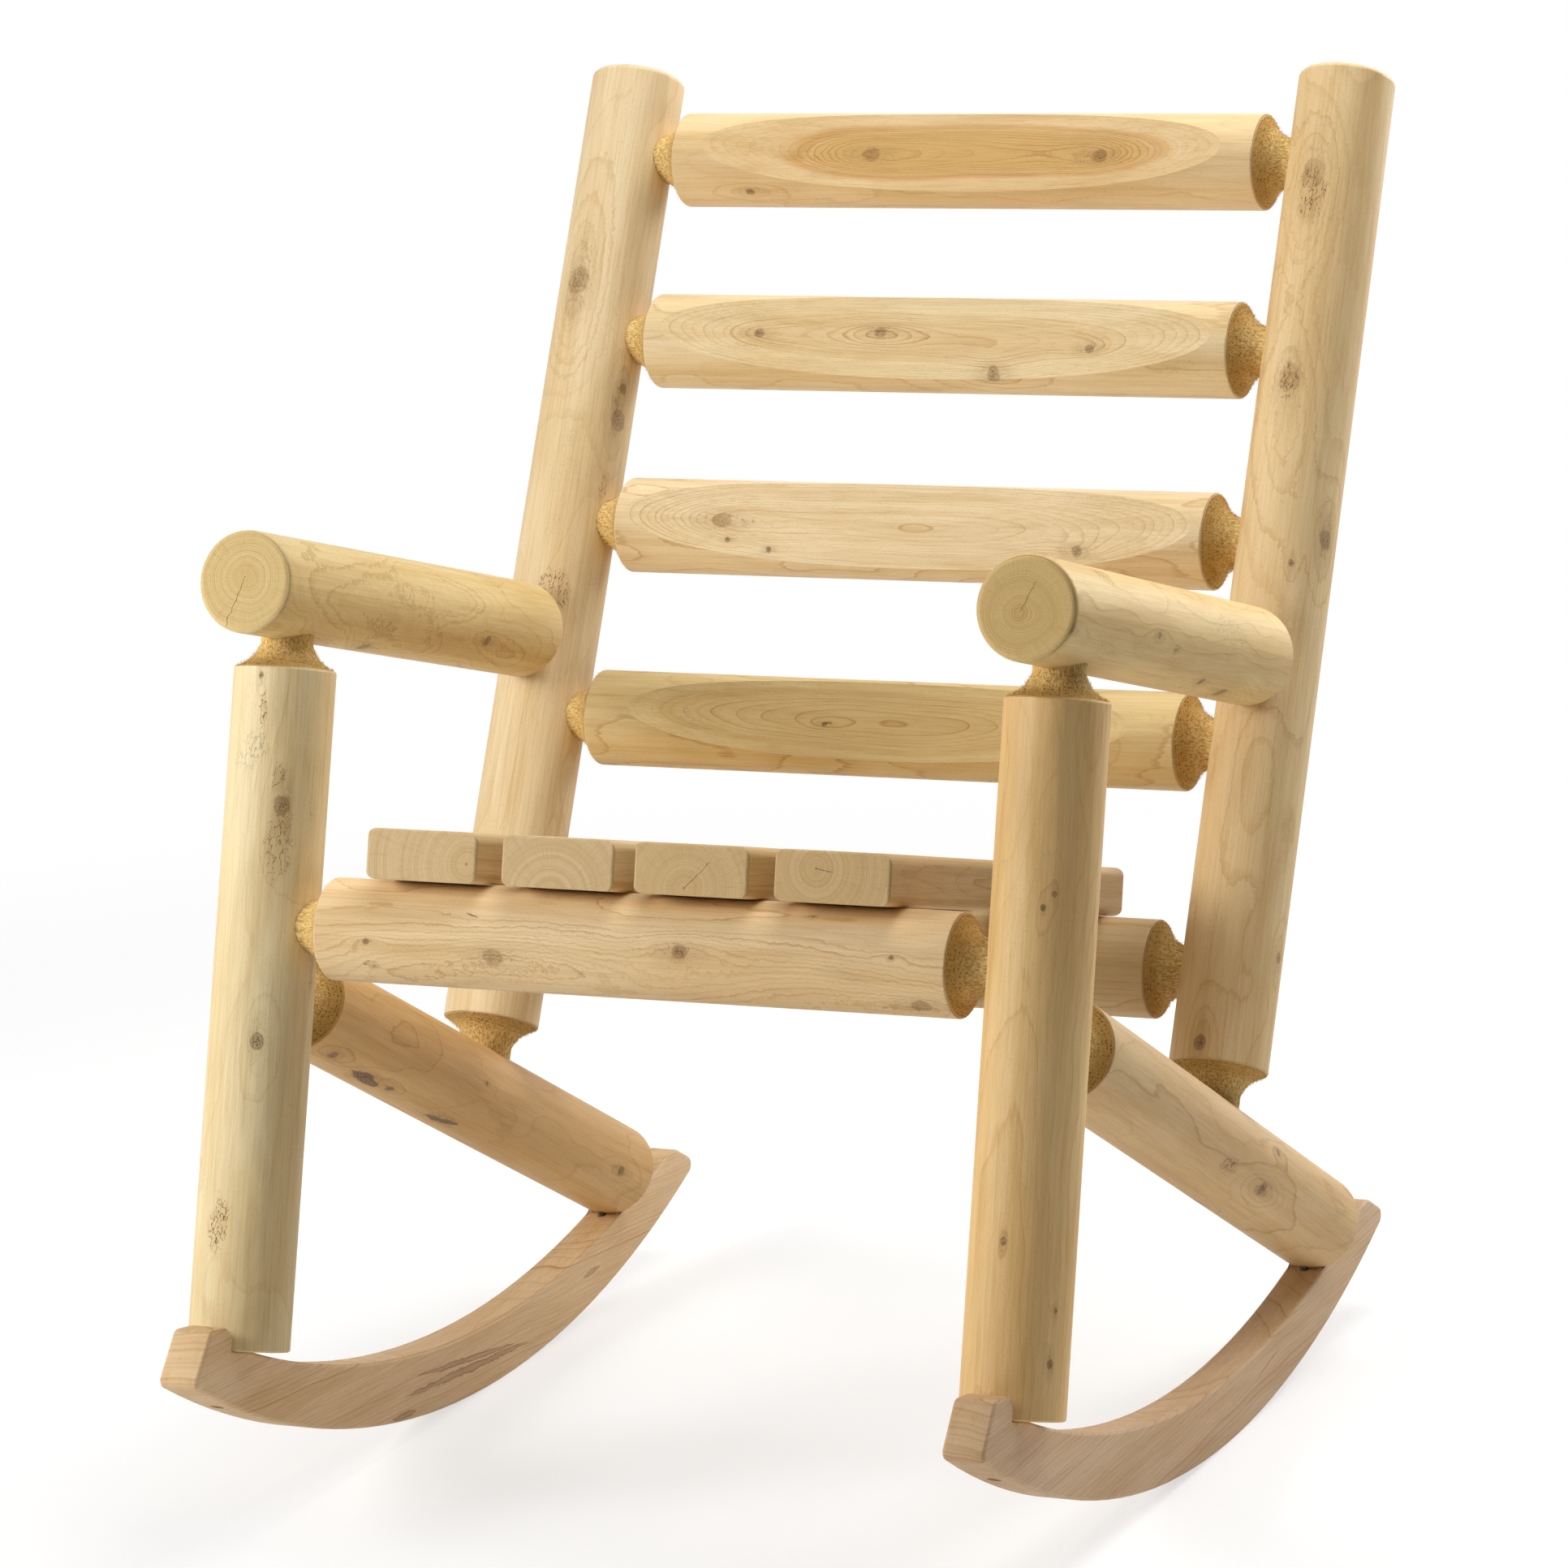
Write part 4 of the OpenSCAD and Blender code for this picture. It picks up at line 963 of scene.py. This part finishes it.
def screw_tree():
    tree = bpy.data.node_groups.new("wood_screws", "GeometryNodeTree")
    tree.is_modifier = True
    tree.interface.new_socket("Places", in_out="INPUT", socket_type="NodeSocketGeometry")
    for label in ("Shank", "Length", "Head", "Head Height", "Drive", "Pitch"):
        tree.interface.new_socket(label, in_out="INPUT", socket_type="NodeSocketFloat")
    tree.interface.new_socket("Metal", in_out="INPUT", socket_type="NodeSocketMaterial")
    tree.interface.new_socket("Screws", in_out="OUTPUT", socket_type="NodeSocketGeometry")
    given = tree.nodes.new("NodeGroupInput").outputs
    g = Graph(tree)

    def moved(shape, z, turned=None):
        at = g.add("ShaderNodeCombineXYZ", {2: z})
        return g.add("GeometryNodeTransform", {"Geometry": shape, "Translation": at, "Rotation": turned})

    half = g.times(given["Shank"], 0.5)
    core = g.times(half, 0.68)
    deep = g.times(given["Head Height"], -1.0)
    head = moved(g.add("GeometryNodeMeshCone", {"Vertices": 24, "Radius Top": g.times(given["Head"], 0.5),
                                                "Radius Bottom": half, "Depth": given["Head Height"]}), deep)
    recess = g.times(given["Head Height"], 1.3)
    square = g.add("GeometryNodeMeshCube", {"Size": g.add("ShaderNodeCombineXYZ", {
        0: given["Drive"], 1: given["Drive"], 2: recess})})
    head = g.add("GeometryNodeMeshBoolean", {"Mesh 1": head, "Mesh 2": square}, operation="DIFFERENCE",
                 solver="EXACT")
    point = g.times(given["Shank"], 1.6)
    core_length = g.minus(g.minus(given["Length"], point), g.times(given["Head Height"], 0.9))
    core_middle = g.minus(g.times(given["Head Height"], -0.9), g.times(core_length, 0.5))
    shank = moved(g.add("GeometryNodeMeshCylinder", {"Vertices": 16, "Radius": core, "Depth": core_length}),
                  core_middle)
    tip = moved(g.add("GeometryNodeMeshCone", {"Vertices": 16, "Radius Top": core, "Radius Bottom": 0.0003,
                                               "Depth": point}), g.times(given["Length"], -1.0))
    wound = g.times(core_length, 0.7)
    spiral = g.add("GeometryNodeCurveSpiral", {"Resolution": 12, "Rotations": g.calc("DIVIDE", wound, given["Pitch"]),
                                               "Start Radius": core, "End Radius": core, "Height": wound})
    ridge = g.add("GeometryNodeCurvePrimitiveCircle", {"Resolution": 3, "Radius": g.times(half, 0.3)})
    thread = moved(g.add("GeometryNodeCurveToMesh", {"Curve": spiral, "Profile Curve": ridge, "Fill Caps": True}),
                   g.plus(g.minus(point, given["Length"]), 0.0))
    screw = tree.nodes.new("GeometryNodeJoinGeometry")
    for shape in (head, shank, tip, thread):
        tree.links.new(shape, screw.inputs[0])
    out = g.add("GeometryNodeInputNamedAttribute", {"Name": "out"}, data_type="FLOAT_VECTOR")
    turned = g.add("FunctionNodeAlignRotationToVector", {"Vector": out}, axis="Z")
    copies = g.add("GeometryNodeInstanceOnPoints", {"Points": given["Places"], "Instance": screw.outputs[0],
                                                    "Rotation": turned})
    solid = g.add("GeometryNodeRealizeInstances", {"Geometry": copies})
    done = g.add("GeometryNodeSetMaterial", {"Geometry": solid, "Material": given["Metal"]})
    tree.links.new(done, tree.nodes.new("NodeGroupOutput").inputs[0])
    return tree


SCREW_TREE = screw_tree()
print("tree:", SCREW_TREE.name, len(SCREW_TREE.nodes), "nodes")

# %% [markdown]
# ## Putting the screws in
# Each plain screw is a loose island of the node's mesh. Its longest axis is the screw's axis, and
# the end with the wider rim is its head. The tree's result is baked to a plain mesh and the
# modifier goes with the object that carried it.

# %% Screws in place


def islands(mesh):
    """The points of each loose part of a mesh, as arrays."""
    build = bmesh.new()
    build.from_mesh(mesh)
    bmesh.ops.remove_doubles(build, verts=build.verts, dist=1e-6)
    left, found = set(build.verts), []
    while left:
        edge_of_search, part = [left.pop()], []
        while edge_of_search:
            vert = edge_of_search.pop()
            part.append(vert.co[:])
            for edge in vert.link_edges:
                other = edge.other_vert(vert)
                if other in left:
                    left.discard(other)
                    edge_of_search.append(other)
        found.append(np.array(part))
    build.free()
    return sorted(found, key=lambda part: tuple(part.mean(0).round(4)))


def head_of(part):
    """Middle of a screw's head, and the way out of the wood."""
    middle = part.mean(0)
    axis = np.linalg.svd(part - middle)[2][0]
    along = (part - middle) @ axis
    wide = np.linalg.norm(part - middle - np.outer(along, axis), axis=1)
    if along[wide.argmax()] < 0:
        axis, along = -axis, -along
    return middle + axis * along.max(), axis


def put_screws(name, sizes):
    places = [head_of(part) for part in islands(nodes[name].data)]
    mesh = bpy.data.meshes.new(name + "_places")
    mesh.from_pydata([place for place, out in places], [], [])
    arrows = mesh.attributes.new("out", "FLOAT_VECTOR", "POINT")
    arrows.data.foreach_set("vector", np.array([out for place, out in places]).ravel())
    lengths = dict(zip(("Shank", "Length", "Head", "Head Height"), sizes), Drive=DRIVE_MM, Pitch=PITCH_MM)
    values = {label: length / 1000 for label, length in lengths.items()}
    piece = bake(set_up(name + "_places", mesh, SCREW_TREE, {**values, "Metal": STEEL}), name + "_threaded")
    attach(piece, "root")
    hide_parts(name)
    return piece, len(places)


for name, sizes in SCREWS.items():
    piece, number = put_screws(name, sizes)
    wear(nodes[name], STEEL)
    print(piece.name, number, "screws,", len(piece.data.polygons), "faces")

# %% [markdown]
# ## Floor, background and light
# The chair stands on a plain pale floor that fades into white. Big soft lamps stand for a studio:
# two from the front left, so that the right side of each log falls into shade, one overhead, and
# weak ones behind on the right that draw a thin bright edge along that shade. The floor throws
# light back up. The eye sees the floor whiter than the light would make it, but with its shadow.

# %% Studio
AMBIENT = 0.03
FLOOR_SIZE = 14.0
FLOOR_GLOW = 0.66
FLOOR_SHADE = 0.4


def seen_rays(g):
    """1 where the eye meets the backdrop, directly or in a reflection, and 0 where light bounces."""
    rays = g.tree.nodes.new("ShaderNodeLightPath").outputs
    return g.calc("MAXIMUM", rays["Is Camera Ray"], g.calc("MAXIMUM", rays["Is Glossy Ray"],
                                                           rays["Is Transmission Ray"]))


def make_floor():
    bpy.ops.mesh.primitive_plane_add(size=FLOOR_SIZE, location=(0, 0, 0))
    floor = bpy.context.object
    floor.name = "floor"
    material = bpy.data.materials.new("studio_floor")
    material.use_nodes = True
    tree = material.node_tree
    tree.nodes.clear()
    g = Graph(tree)
    place = tree.nodes.new("ShaderNodeTexCoord").outputs["Object"]
    reach = g.add("ShaderNodeVectorMath", {0: place}, out="Value", operation="LENGTH")
    far = g.step(reach, 1.1, 2.4)
    seen = seen_rays(g)
    shade = g.blend_value(seen, 0.9, g.times(g.minus(1.0, far), FLOOR_SHADE))
    matt = g.add("ShaderNodeBsdfDiffuse", {"Color": g.add("ShaderNodeCombineColor",
                                                          {0: shade, 1: shade, 2: shade})})
    glow = g.add("ShaderNodeEmission", {"Color": (1, 1, 1, 1),
                                        "Strength": g.times(seen, g.blend_value(far, FLOOR_GLOW, 1.0))})
    both = tree.nodes.new("ShaderNodeAddShader")
    g.feed(both.inputs[0], matt)
    g.feed(both.inputs[1], glow)
    result = tree.nodes.new("ShaderNodeOutputMaterial")
    g.feed(result.inputs["Surface"], both.outputs[0])
    floor.data.materials.append(material)
    return floor


def make_world():
    world = bpy.data.worlds.new("studio")
    bpy.context.scene.world = world
    world.use_nodes = True
    tree = world.node_tree
    g = Graph(tree)
    background = tree.nodes["Background"]
    background.inputs["Color"].default_value = (1, 1, 1, 1)
    g.feed(background.inputs["Strength"], g.blend_value(seen_rays(g), AMBIENT, 1.0))


def add_lamp(name, turn, height, distance, size, watts):
    """A round lamp that looks at the chair's middle; turn is from the front, towards +X, in degrees."""
    lamp = bpy.data.lights.new(name, "AREA")
    lamp.shape = "DISK"
    lamp.size = size
    lamp.energy = watts
    holder = bpy.data.objects.new(name, lamp)
    a, e = math.radians(turn), math.radians(height)
    away = Vector((math.sin(a) * math.cos(e), -math.cos(a) * math.cos(e), math.sin(e)))
    holder.location = Vector((0, 0, 0.5)) + away * distance
    holder.rotation_euler = (-away).to_track_quat("-Z", "Y").to_euler()
    bpy.context.scene.collection.objects.link(holder)


make_floor()
make_world()
add_lamp("key", -45, 24, 4.0, 2.0, 56)
add_lamp("near_key", -45, 18, 2.4, 1.0, 23.5)
add_lamp("top", 140, 70, 2.5, 2.0, 58)
add_lamp("back", 155, 16, 3.0, 1.2, 31)
add_lamp("side", 125, 45, 3.0, 1.2, 8)
bpy.context.scene.view_settings.view_transform = "Standard"
print("studio ready")
